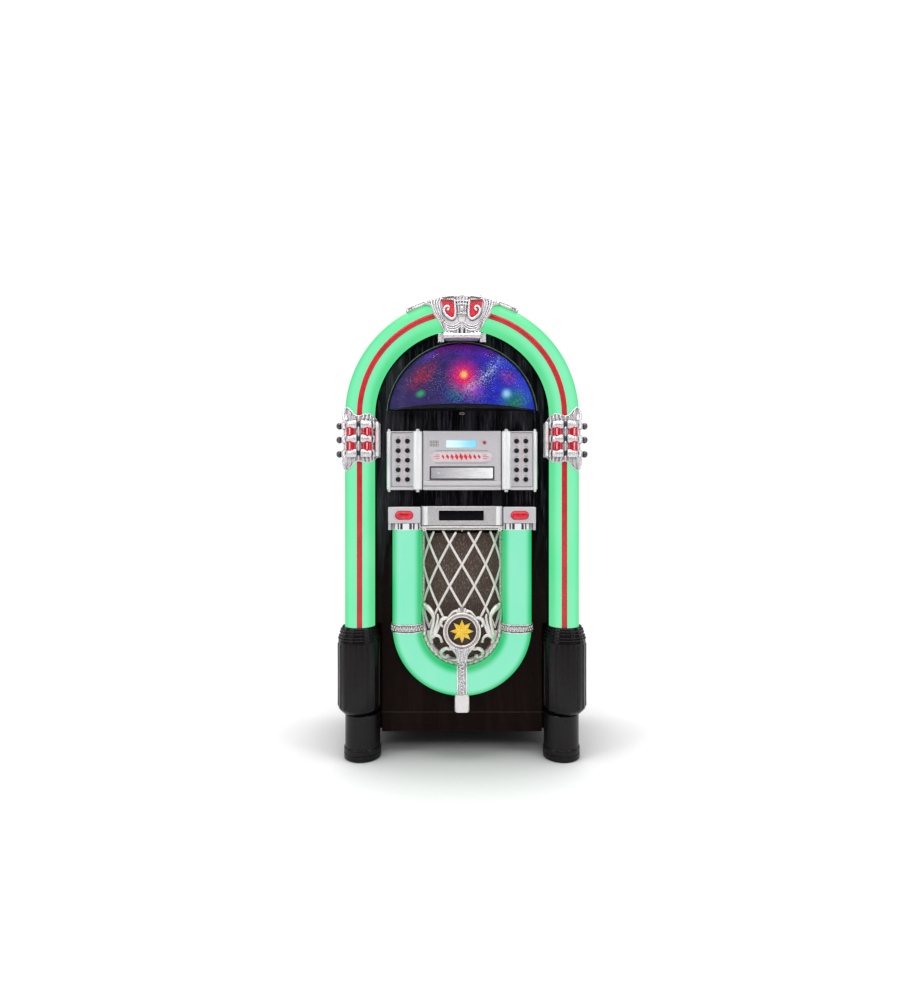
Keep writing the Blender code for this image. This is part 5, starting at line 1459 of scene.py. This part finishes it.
def crown_relief():
    """Right half of the ornament: volute, shoulder strands, swags and foot leaves."""
    volute = [(0.0305, 1.0271), (0.0294, 1.0323), (0.0339, 1.0346), (0.0389, 1.0316), (0.0407, 1.0249),
              (0.0380, 1.0170),
              (0.0316, 1.0102), (0.0237, 1.0061), (0.0172, 1.0091), (0.0149, 1.0191), (0.0156, 1.0350),
              (0.0167, 1.0486)]
    parts = [relief(volute, [0.0022, 0.0026, 0.0028, 0.0030, 0.0030, 0.0028, 0.0024, 0.0022], CROWN_FACE - 0.0034, 14)]
    parts.append(ball((0.0318, CROWN_FACE - 0.0036, 1.0265), (0.0030, 0.0026, 0.0030), 14))
    strands = [[(0.0478, 1.0520), (0.0520, 1.0420), (0.0498, 1.0300), (0.0462, 1.0170), (0.0400, 1.0040)],
               [(0.0530, 1.0545), (0.0570, 1.0430), (0.0550, 1.0300), (0.0500, 1.0160), (0.0430, 1.0010)],
               [(0.0600, 1.0540), (0.0628, 1.0430), (0.0606, 1.0310), (0.0548, 1.0160), (0.0460, 0.9990)],
               [(0.0680, 1.0520), (0.0692, 1.0430), (0.0655, 1.0320), (0.0612, 1.0190), (0.0520, 1.0040),
                (0.0440, 0.9880)],
               [(0.0760, 1.0490), (0.0752, 1.0430), (0.0700, 1.0370)],
               [(0.0835, 1.0460), (0.0800, 1.0420), (0.0750, 1.0400)]]
    parts += [relief(points, [0.0020, 0.0028, 0.0026, 0.0022, 0.0014]) for points in strands]
    for drop in (0.0, 0.0052, 0.0104):
        swag = [(0.0400 - drop * 0.3, 0.9985 - drop), (0.0320, 0.9935 - drop), (0.0220, 0.9912 - drop),
                (0.0130, 0.9935 - drop),
                (0.0050, 0.9990 - drop)]
        parts.append(relief(swag, [0.0014, 0.0021, 0.0023, 0.0020, 0.0014]))
    for x, z, size in ((0.0300, 0.9760, 0.0040), (0.0220, 0.9745, 0.0032), (0.0375, 0.9765, 0.0030)):
        parts.append(ball((x, CROWN_FACE - 0.0004, z), (size, 0.0026, size * 0.8), 14))
    parts.append(relief([(0.0180, 0.9790), (0.0250, 0.9815), (0.0330, 0.9800), (0.0390, 0.9770)],
                        [0.0012, 0.0020, 0.0020, 0.0012]))
    parts.append(relief([(0.0130, 0.9720), (0.0190, 0.9735), (0.0240, 0.9722)], [0.0012, 0.0018, 0.0012]))
    return merged(*parts)


def crown_column():
    """The ribbed column in the middle, under a crossbar with a small dome."""
    face = CROWN_FACE - 0.0020
    parts = [plate([[(-0.0145, 1.0560), (-0.0118, 1.0400), (-0.0100, 1.0250), (-0.0090, 1.0100), (-0.0060, 0.9980),
                     (0.0060, 0.9980),
                     (0.0090, 1.0100), (0.0100, 1.0250), (0.0118, 1.0400), (0.0145, 1.0560)]], face,
                     CROWN_FACE + 0.0040, 0.0018)]
    for share in (-1.0, -0.34, 0.34, 1.0):
        parts.append(relief([(share * 0.0112, 1.0540), (share * 0.0092, 1.0400), (share * 0.0076, 1.0250),
                             (share * 0.0062, 1.0120)],
                            [0.0020, 0.0017, 0.0014], face - 0.0004, 10))
    for z, half in ((1.0462, 0.0138), (1.0385, 0.0122), (1.0180, 0.0096)):
        parts.append(relief([(-half, z), (0.0, z + 0.0010), (half, z)], [0.0015, 0.0019, 0.0015], face - 0.0014, 10))
    parts.append(block((-0.0192, CROWN_FACE - 0.0030, 1.0548), (0.0192, CROWN_FACE + 0.0200, 1.0604), 0.0018, 3))
    parts.append(ball((0.0, CROWN_FACE + 0.0020, 1.0590), (0.0098, 0.0060, 0.0062), 18))
    parts.append(ball((0.0, face - 0.0016, 1.0290), (0.0046, 0.0026, 0.0058), 14))
    for side in (-1, 1):
        parts.append(relief([(side * 0.0092, 0.9860), (side * 0.0096, 0.9780), (side * 0.0104, 0.9716)],
                            [0.0016, 0.0022, 0.0024]))
    parts.append(relief([(0.0, 0.9880), (0.0, 0.9790), (0.0, 0.9716)], [0.0022, 0.0026, 0.0030]))
    return merged(*parts)


def crown_top():
    """The cover over the tube behind the front plate, with a rounded cap."""
    high = span("crown", 2)[1]
    cap = block((-0.0445, -0.1345, 1.0520), (0.0445, -0.0995, high - 0.0006), 0.0050, 3)
    ribs = [rod([(x, -0.1340, high - 0.0040), (x, -0.1300, high - 0.0012), (x, -0.1170, high - 0.0006),
                 (x, -0.1040, high - 0.0012),
                 (x, -0.0998, high - 0.0040)], 0.0011, 8) for x in np.linspace(-0.036, 0.036, 9)]
    return merged(saddle(60, -195, 11.5, TUBE_R + 0.0008, TUBE_R + 0.0060), cap, *ribs)


def crown_wings():
    """Narrow plates that run down the outside of the tube from the crown, with three ribs at each end."""
    parts = [saddle(-50, -130, 27.5, TUBE_R + 0.0008, TUBE_R + 0.0052, 16)]
    radius = TUBE_X + TUBE_R + 0.0046
    for y in (-0.1385, -0.0870):
        parts.append(rod([(x, y, z) for x, z in arc((0.0, ARCH_Z), radius - 0.0035, 117, 63, 40)], 0.0022, 8))
    for side in (-1, 1):
        for degrees in (27.6, 26.3, 25.0, 13.8, 12.8):
            a = math.radians(degrees)
            where = [(side * (TUBE_X * math.sin(a) + (TUBE_R + 0.0056) * math.cos(t) * math.sin(a)),
                      TUBE_Y - (TUBE_R + 0.0056) * math.sin(t) * 0.98,
                      ARCH_Z + TUBE_X * math.cos(a) + (TUBE_R + 0.0056) * math.cos(t) * math.cos(a))
                     for t in np.linspace(-0.72, 0.72, 13)]
            parts.append(rod(where, 0.0021, 8))
    return merged(*parts)


piece("crown_plate", crown_face(), CHROME, "chrome", "crown", sharp=50)
piece("crown_foot", crown_foot(), BRIGHT, "chrome", sharp=50)
piece("crown_ornament", both_sides(crown_relief()), BRIGHT, "chrome", sharp=70)
piece("crown_column", crown_column(), CHROME, "chrome", sharp=60)
piece("crown_saddle", crown_top(), CHROME, "chrome", sharp=50)
piece("crown_wings", crown_wings(), CHROME, "chrome", sharp=50)
insert = [(0.0168, 1.0497), (0.0466, 1.0497), (0.0452, 1.0400), (0.0420, 1.0240), (0.0385, 1.0150), (0.0316, 1.0085),
          (0.0237, 1.0050),
          (0.0172, 1.0075), (0.0150, 1.0190), (0.0156, 1.0350)]
piece("crown_inserts", both_sides(plate([insert], CROWN_FACE - 0.0022, CROWN_FACE + 0.0030, 0.0012)), RED_DEEP,
      "red_lens",
      "crown_lens")
piece("crown_insert_tops", both_sides(plate([[(0.0170, 1.0455), (0.0458, 1.0455), (0.0468, 1.0505), (0.0168, 1.0505)]],
                                            CROWN_FACE - 0.0030, CROWN_FACE + 0.0030, 0.0012)),
      red_glass("red_dark", (150, 10, 20), (90, 6, 12), 0.10), "red_lens")
piece("crown_slots", both_sides(block((0.0040, CROWN_FACE - 0.0012, 0.9750), (0.0072, CROWN_FACE + 0.0010, 0.9850),
                                      0.0005, 1)),
      SEAM, "black_plastic")


# ---- Side clamps ----------------------------------------------------------------------------
CLAMP_X = 0.2345                # middle of the casting's rounded section
CLAMP_Z = middle("right_clamp", 2)
BARS_Z = (0.7025, 0.7357, 0.7677)
KNOB_END = span("right_clamp", 0)[1]
WRAP_X, WRAP_Y, WRAP_POWER = 0.0400, 0.0372, 2.5        # half its width and depth, and how square it is


def wrap_table():
    """Points round the casting's rounded section with their distance from its front middle."""
    table, far, last = [], 0.0, None
    for a in np.radians(np.linspace(0, 150, 240)):
        c, q = math.cos(a), math.sin(a)
        spot = Vector((WRAP_X * abs(q) ** (2 / WRAP_POWER), -WRAP_Y * math.copysign(abs(c) ** (2 / WRAP_POWER), c)))
        far += (spot - last).length if last else 0.0
        last = spot
        table.append((far, spot.x, spot.y))
    return np.array(table)


WRAP = wrap_table()


def wrap_spot(far):
    """The place across and along Y at a distance round the section."""
    return np.interp(far, WRAP[:, 0], WRAP[:, 1]), np.interp(far, WRAP[:, 0], WRAP[:, 2])


def wrapped(s, out, z):
    """A place on the right clamp: s runs round it from the front, positive outwards."""
    x, y = wrap_spot(abs(s))
    before, after = wrap_spot(max(abs(s) - 0.0006, 0.0)), wrap_spot(abs(s) + 0.0006)
    run = Vector((after[0] - before[0], after[1] - before[1])).normalized()
    side = math.copysign(1.0, s)
    return Vector((CLAMP_X + side * (x + out * run.y), TUBE_Y + y - out * run.x, z))


# The casting's lobed edges: (place round it, height).
CLAMP_TOP = [(-0.075, 0.7700), (-0.060, 0.7765), (-0.046, 0.7800), (-0.036, 0.7880), (-0.024, 0.7938), (-0.012, 0.7920),
             (-0.002, 0.7880),
             (0.006, 0.7885), (0.012, 0.7930), (0.018, 0.8010), (0.026, 0.8075), (0.033, 0.8090), (0.042, 0.8040),
             (0.055, 0.7920),
             (0.075, 0.7780)]
CLAMP_FOOT = [(-0.075, 0.7030), (-0.060, 0.6975), (-0.046, 0.6940), (-0.036, 0.6870), (-0.024, 0.6812),
              (-0.012, 0.6815), (-0.002, 0.6845),
              (0.006, 0.6835), (0.012, 0.6780), (0.018, 0.6700), (0.026, 0.6640), (0.033, 0.6628), (0.042, 0.6680),
              (0.055, 0.6800),
              (0.075, 0.6940)]


def edge_height(table, s):
    """The height of the casting's upper or lower edge at a place round it."""
    return float(np.interp(s, [row[0] for row in table], [row[1] for row in table]))


def clamp_shell():
    """The curved casting, thinner at its lobed edges, with a rolled rim."""
    rings = []
    for s in np.linspace(-0.070, 0.068, 70):
        low, high = edge_height(CLAMP_FOOT, s), edge_height(CLAMP_TOP, s)
        ring = []
        for share in np.linspace(0, 1, 25):
            rise = min(1.0, 6 * share, 6 * (1 - share)) ** 0.5 if 0 < share < 1 else 0.0
            ring.append(wrapped(s, 0.0006 * rise - 0.0004, low + (high - low) * share))
        ring += [wrapped(s, -0.0024, low + (high - low) * share) for share in np.linspace(1, 0, 9)]
        rings.append(ring)
    rims = []
    for table, inset in ((CLAMP_TOP, -0.0012), (CLAMP_FOOT, 0.0012)):
        rims.append(rod([wrapped(s, 0.0004, edge_height(table, s) + inset) for s in np.linspace(-0.066, 0.064, 60)],
                        0.0016, 8))
    return merged(skin(rings), *rims)


def pillow(start, end, z, half, thick, out, rounds=14):
    """A cushion-shaped boss along the casting from start to end."""
    rings = []
    for u in np.linspace(-1, 1, rounds):
        size = max(0.0, 1 - abs(u) ** 8.0) ** 0.5 * 0.94 + 0.06
        s = (start + end) / 2 + u * (end - start) / 2
        rings.append([wrapped(s, out + thick * size * math.sin(a), z + half * (0.80 + 0.20 * size) * math.cos(a))
                      for a in full_turn(16)])
    return skin(rings)


def clamp_bars():
    """Three bars of pillows: two large ones in front and small ones round each side."""
    parts = []
    for z in BARS_Z:
        for start, end, thick in ((0.0035, 0.0280, 0.0050), (-0.0290, -0.0035, 0.0050), (0.0290, 0.0400, 0.0036),
                                  (-0.0385, -0.0300, 0.0038),
                                  (-0.0520, -0.0400, 0.0034), (0.0410, 0.0560, 0.0034)):
            parts.append(pillow(start, end, z, 0.0094, thick, 0.0022))
        for s in (0.0102, 0.0205, -0.0106, -0.0212):
            parts.append(pillow(s - 0.0030, s + 0.0030, z, 0.0095, 0.0056, 0.0022, 8))
    return merged(*parts)


def clamp_ornament():
    """The divider between the lenses, window frames, and the leaves on the lobes."""
    parts = []
    for low, high in ((0.7100, 0.7285), (0.7428, 0.7608)):
        parts.append(rod([wrapped(0.0, 0.0020, z) for z in np.linspace(low, high, 5)], 0.0026, 10))
        for s in (-0.0300, 0.0300):
            parts.append(rod([wrapped(s, 0.0010, z) for z in np.linspace(low, high, 5)], 0.0018, 10))
        for s in (-0.0420, -0.0500):
            parts.append(rod([wrapped(s, 0.0006, z) for z in np.linspace(low, high, 5)], 0.0022, 10))
    for flip in (1, -1):
        def up(s, z, out=0.0012):
            return wrapped(s, out, CLAMP_Z + flip * (z - CLAMP_Z))
        leaf = smooth_path([up(0.0310, 0.7780), up(0.0340, 0.7880), up(0.0335, 0.7980), up(0.0310, 0.8060)], 5)
        parts.append(rod(leaf, [0.0072, 0.0084, 0.0064, 0.0024], 14, 0.5))
        inner_leaf = smooth_path([up(0.0200, 0.7780), up(0.0205, 0.7850), up(0.0190, 0.7920), up(0.0215, 0.7985)], 5)
        parts.append(rod(inner_leaf, [0.0026, 0.0030, 0.0024, 0.0014], 10, 0.6))
        for s, top, width in ((-0.0100, 0.7900, 0.0026), (-0.0180, 0.7925, 0.0030), (-0.0260, 0.7905, 0.0028),
                              (-0.0340, 0.7860, 0.0024)):
            vein = smooth_path([up(s + 0.0020, 0.7770), up(s, 0.7830), up(s - 0.0010, top - 0.0010)], 5)
            parts.append(rod(vein, [width * 0.8, width, width * 0.5], 10, 0.7))
        parts.append(rod([up(0.0, 0.7770), up(0.0, 0.7860)], [0.0030, 0.0020], 10, 0.7))
        parts.append(rod([up(0.0080, 0.7775), up(0.0090, 0.7865)], [0.0024, 0.0016], 10, 0.7))
    eye = wrapped(0.0350, 0.0014, 0.6870)
    parts.append(ball(eye, (0.0046, 0.0036, 0.0052), 16))
    curl = smooth_path([wrapped(0.0260, 0.0014, 0.6930), wrapped(0.0310, 0.0016, 0.6960),
                        wrapped(0.0400, 0.0014, 0.6925),
                        wrapped(0.0420, 0.0014, 0.6850), wrapped(0.0370, 0.0014, 0.6780),
                        wrapped(0.0280, 0.0012, 0.6770)], 5)
    parts.append(rod(curl, [0.0016, 0.0024, 0.0026, 0.0022, 0.0014], 10))
    return merged(*parts)


def inner_wall():
    """The wall on the casting's inner side, which stands on the panel."""
    x = span("right_clamp", 0)[0] + 0.0004
    return merged(block((x, TUBE_Y - 0.0300, 0.6990), (x + 0.0030, UNIT_BACK, 0.7752), 0.0012),
                  *[block((x - 0.0003, TUBE_Y - 0.0315, z - 0.0062), (x + 0.0060, UNIT_BACK, z + 0.0062), 0.0018, 3)
                    for z in BARS_Z])


def knob(z):
    """A dark steel knob with a collar, on the casting's outer side."""
    turned_profile = [(0.0, 0.0), (0.0032, 0.0004), (0.0058, 0.0018), (0.0074, 0.0042), (0.0080, 0.0068),
                      (0.0076, 0.0092), (0.0062, 0.0112), (0.0050, 0.0120), (0.0050, 0.0132), (0.0080, 0.0136),
                      (0.0084, 0.0150), (0.0080, 0.0164), (0.0064, 0.0168), (0.0064, 0.0240), (0.0, 0.0240)]
    profile = [(radius, KNOB_END - depth) for radius, depth in turned_profile]
    return lathe(profile, (0.0, TUBE_Y - 0.0060, z), "X", 32)


def lens_columns():
    """Two rounded columns of red glass side by side behind the windows."""
    return merged(*[sweep([(CLAMP_X + shift, z) for z in np.linspace(0.7072, 0.7638, 7)], oval(half, 0.0085, 28),
                          TUBE_Y - 0.0330) for shift, half in ((0.0170, 0.0118), (-0.0165, 0.0122))])


# Dark bosses between the front pillows: painted shade of the groove between them.
clamp_notch_shade = merged(*[pillow(-0.0034, 0.0034, z, 0.0052, 0.0020, 0.0012, 6) for z in BARS_Z])
CLAMP_WALL_X = span("right_clamp", 0)[0]
inner_glow = block((CLAMP_WALL_X + 0.0030, TUBE_Y - 0.0330, 0.7080), (CLAMP_WALL_X + 0.0060, TUBE_Y - 0.0010, 0.7630),
                   0.001)
# Pale pink strips on the red lens columns: painted highlights.
lens_highlight_strips = merged(*[block((CLAMP_X + x - 0.0011, TUBE_Y - 0.0424, z0), (CLAMP_X + x + 0.0011, TUBE_Y - 0.0340, z1),
                              0.0008)
                        for x in (0.0195, -0.0195) for z0, z1 in ((0.7110, 0.7270), (0.7440, 0.7595))])
WALL_SILVER = plain("wall_silver", (214, 220, 222), (236, 240, 241), (0.2, 0.3), 0.1, (90.0, (1, 1, 1)), coat=0.2)
PALE_PINK = plain("pale_pink", (238, 178, 180), (250, 206, 204), (0.2, 0.3), coat=0.3)
for word, side in SIDES:
    piece(word + "_clamp_casting", on_side(side, clamp_shell()), CHROME, "chrome", word + "_clamp", sharp=50)
    piece(word + "_clamp_bars", on_side(side, clamp_bars()), BRIGHT, "chrome", sharp=70)
    piece(word + "_clamp_ornament", on_side(side, clamp_ornament()), BRIGHT, "chrome", sharp=70)
    piece(word + "_clamp_wall", on_side(side, inner_wall()), WALL_SILVER, "chrome", sharp=50)
    piece(word + "_clamp_highlight_strips", on_side(side, lens_highlight_strips), PALE_PINK, "red_lens")
    piece(word + "_clamp_notch_shade", on_side(side, clamp_notch_shade), SEAM, "black_plastic")
    piece(word + "_clamp_lenses", on_side(side, lens_columns()), CLAMP_RED, "red_lens", word + "_clamp_lens")
    piece(word + "_clamp_glow", on_side(side, inner_glow), PALE_PINK, "red_lens")
    for number, z in enumerate(BARS_Z, 1):
        piece(f"{word}_knob_{number}", on_side(side, knob(z)), KNOB_STEEL, "grey_steel")


# ---- Rear -----------------------------------------------------------------------------------
BACK_Y = span("back_panel", 1)[1]
PLATE_Y = span("rear_plate", 1)[1]


VENTS = [(x, low, high) for x in (-0.1250, 0.1250) for low, high in ((0.3900, 0.4900), (0.1250, 0.2050))]


def louvres():
    """Four banks of rounded slats, each in a frame, on the back panel."""
    parts = []
    for x, low, high in VENTS:
        parts.append(plate([rect(x - 0.0560, low - 0.0080, x + 0.0560, high + 0.0080, 0.004),
                            rect(x - 0.0510, low - 0.0030, x + 0.0510, high + 0.0030, 0.003)], BACK_Y + 0.0001,
                           BACK_Y + 0.0018))
        parts += [rod([(x - 0.0505, BACK_Y + 0.0006, z), (x + 0.0505, BACK_Y + 0.0006, z)], 0.0024, 10, 0.55)
                  for z in np.arange(low + 0.0020, high, 0.0090)]
    return merged(*parts)


def vent_dark():
    """A thin dark bed behind each bank of slats."""
    return merged(*[block((x - 0.0508, BACK_Y + 0.00005, low - 0.0028), (x + 0.0508, BACK_Y + 0.0004, high + 0.0028),
                          0.0001, 1) for x, low, high in VENTS])


def screw(x, z, y, radius=0.0036):
    """A pan-head screw with a cross recess shown by four raised quarters."""
    head = lathe([(0.0, y + 0.0016), (radius * 0.7, y + 0.0014), (radius, y + 0.0006), (radius, y + 0.0001),
                  (0.0, y + 0.0001)], (x, 0.0, z), "Y", 20)
    quarters = [ball((x + a * radius * 0.34, y + 0.0015, z + b * radius * 0.34), (radius * 0.24, 0.0005, radius * 0.24),
                     8)
                for a in (-1, 1) for b in (-1, 1)]
    return merged(head, *quarters)


def jack(x, z):
    """A round socket with a raised ring and a dark hole."""
    profile = [(0.0, 0.0002), (0.0020, 0.0002), (0.0020, 0.0030), (0.0028, 0.0034), (0.0038, 0.0030),
               (0.0040, 0.0006), (0.0056, 0.0005), (0.0056, 0.0001), (0.0, 0.0001)]
    return lathe([(radius, PLATE_Y + out) for radius, out in profile], (x, 0.0, z), "Y", 28)


piece("rear_louvres", louvres(), BLACK, "black_plastic")
piece("rear_vent_beds", vent_dark(), SEAM, "black_plastic")
panel_screws = ((0.2230, 0.0850), (0.2230, 0.3000), (0.2230, 0.5200), (0.2230, 0.7300), (0.1850, 0.9300),
                (0.0700, 1.0050), (0.0700, 0.0850))
plate_screws = ((0.0690, 0.2510), (0.0690, 0.3290))
piece("rear_screws", merged(*[screw(side * x, z, BACK_Y) for side in (-1, 1) for x, z in panel_screws],
                            *[screw(side * x, z, PLATE_Y, 0.0028) for side in (-1, 1) for x, z in plate_screws]),
      STEEL, "grey_steel")
for name, x, finish in (("left_socket", 0.0120, RED_LENS), ("right_socket", -0.0015, PALE),
                        ("aerial_socket", 0.0600, BLACK)):
    piece(name, jack(x, 0.3150), finish, "black_plastic")
piece("inlet_frame", plate([rect(-0.0500, 0.2745, -0.0100, 0.3055, 0.002),
                            rect(-0.0428, 0.2812, -0.0172, 0.2988, 0.001)],
                           PLATE_Y + 0.0001, PLATE_Y + 0.0010), BLACK, "black_plastic")
piece("switch_frame", plate([rect(0.0300, 0.2760, 0.0500, 0.3040, 0.002), rect(0.0330, 0.2790, 0.0470, 0.3010, 0.001)],
                            PLATE_Y + 0.0001, PLATE_Y + 0.0008), BLACK, "black_plastic")
piece("panel_seam", block((-0.2010, PANEL_Y - 0.0003, 0.0966), (0.2010, PANEL_Y + 0.0004, 0.0974), 0.0001, 1), SEAM,
      "black_plastic")


# ---- Camera, light and floor ----------------------------------------------------------------
def make_camera():
    """In front of the middle, as far off as the photo's lines suggest."""
    camera = bpy.data.objects.new("camera", bpy.data.cameras.new("camera"))
    bpy.context.scene.collection.objects.link(camera)
    camera.location = (0.0, -1.505, 0.5966)
    camera.rotation_euler = (math.radians(90), 0.0, 0.0)
    camera.data.sensor_width = 36.0
    camera.data.lens = 21.49
    bpy.context.scene.camera = camera
    bpy.context.scene.view_settings.view_transform = "Standard"


def make_floor():
    """Pale paper with a painted shadow that darkens it near the object; it fades to white away from it."""
    floor = Finish("floor")
    paper = floor.mix(floor.noise(3.0), linear(246, 246, 246), linear(250, 250, 250))
    # Ambient occlusion mixes grey into the paper near the object: painted shadow.
    painted_floor_shadow = floor.node("AmbientOcclusion", {"Distance": 0.55}, output=1, samples=12)
    floor.set(Base_Color=floor.mix(floor.fit(painted_floor_shadow, 0.15, 1.0), linear(168, 168, 168), paper), Roughness=0.9,
              Specular_IOR_Level=0.0)
    near = floor.node("VectorMath", {0: floor.place()}, output=1, operation="LENGTH")
    white = floor.node("Emission", {"Color": (1, 1, 1, 1), "Strength": 1.02})
    blend = floor.node("MixShader", {0: floor.smooth(near, 0.55, 1.15), 1: floor.bsdf.outputs[0], 2: white})
    floor.put(floor.tree.nodes["Material Output"].inputs[0], blend)
    mesh = bpy.data.meshes.new("floor")
    mesh.from_pydata([(-15, -15, 0), (15, -15, 0), (15, 15, 0), (-15, 15, 0)], [], [(0, 1, 2, 3)])
    mesh.materials.append(floor.material)
    ground = bpy.data.objects.new("floor", mesh)
    bpy.context.scene.collection.objects.link(ground)


def make_world():
    """White to the camera. For light it is dim below and bright above."""
    world = bpy.data.worlds.new("studio")
    bpy.context.scene.world = world
    world.use_nodes = True
    world.node_tree.nodes.clear()
    sky = Nodes(world.node_tree)
    height = sky.node("SeparateXYZ", {0: sky.node("TexCoord")}, output=2)
    shades = sky.node("ValToRGB", {0: sky.node("MapRange", {0: height, 1: -1.0})})
    ramp = shades.node.color_ramp
    low, high = ramp.elements
    low.position, low.color = 0.48, (0.20, 0.20, 0.21, 1)
    high.position, high.color = 0.95, (1.0, 1.0, 1.0, 1)
    ramp.elements.new(0.62).color = (0.28, 0.28, 0.29, 1)
    lit = sky.node("Background", {0: shades, 1: 0.50})
    seen = sky.node("Background", {0: (1, 1, 1, 1), 1: 1.05})
    out = sky.tree.nodes.new("ShaderNodeOutputWorld")
    sky.put(out.inputs[0], sky.node("MixShader", {0: sky.node("LightPath"), 1: lit, 2: seen}))


def softbox(name, place, aim, width, height, power):
    """A rectangular lamp that faces a point."""
    light = bpy.data.lights.new(name, "AREA")
    light.shape = "RECTANGLE"
    light.size, light.size_y, light.energy = width, height, power
    holder = bpy.data.objects.new(name, light)
    holder.location = place
    holder.rotation_euler = (Vector(aim) - Vector(place)).to_track_quat("-Z", "Y").to_euler()
    bpy.context.scene.collection.objects.link(holder)


make_camera()
make_floor()
make_world()
OBJECT_MIDDLE = (0.0, 0.0, 0.6)
softbox("top_light", (0.0, -0.10, 2.6), (0.0, -0.10, 0.0), 1.9, 1.9, 66)
softbox("left_light", (-1.9, -1.5, 1.7), OBJECT_MIDDLE, 0.7, 1.8, 15)
softbox("right_light", (1.9, -1.5, 1.7), OBJECT_MIDDLE, 0.7, 1.8, 12)
softbox("front_light", (0.0, -2.6, 2.3), OBJECT_MIDDLE, 2.2, 0.8, 18)
softbox("left_edge", (-2.2, 0.5, 1.2), OBJECT_MIDDLE, 0.6, 1.8, 8)
softbox("right_edge", (2.2, 0.5, 1.2), OBJECT_MIDDLE, 0.6, 1.8, 8)
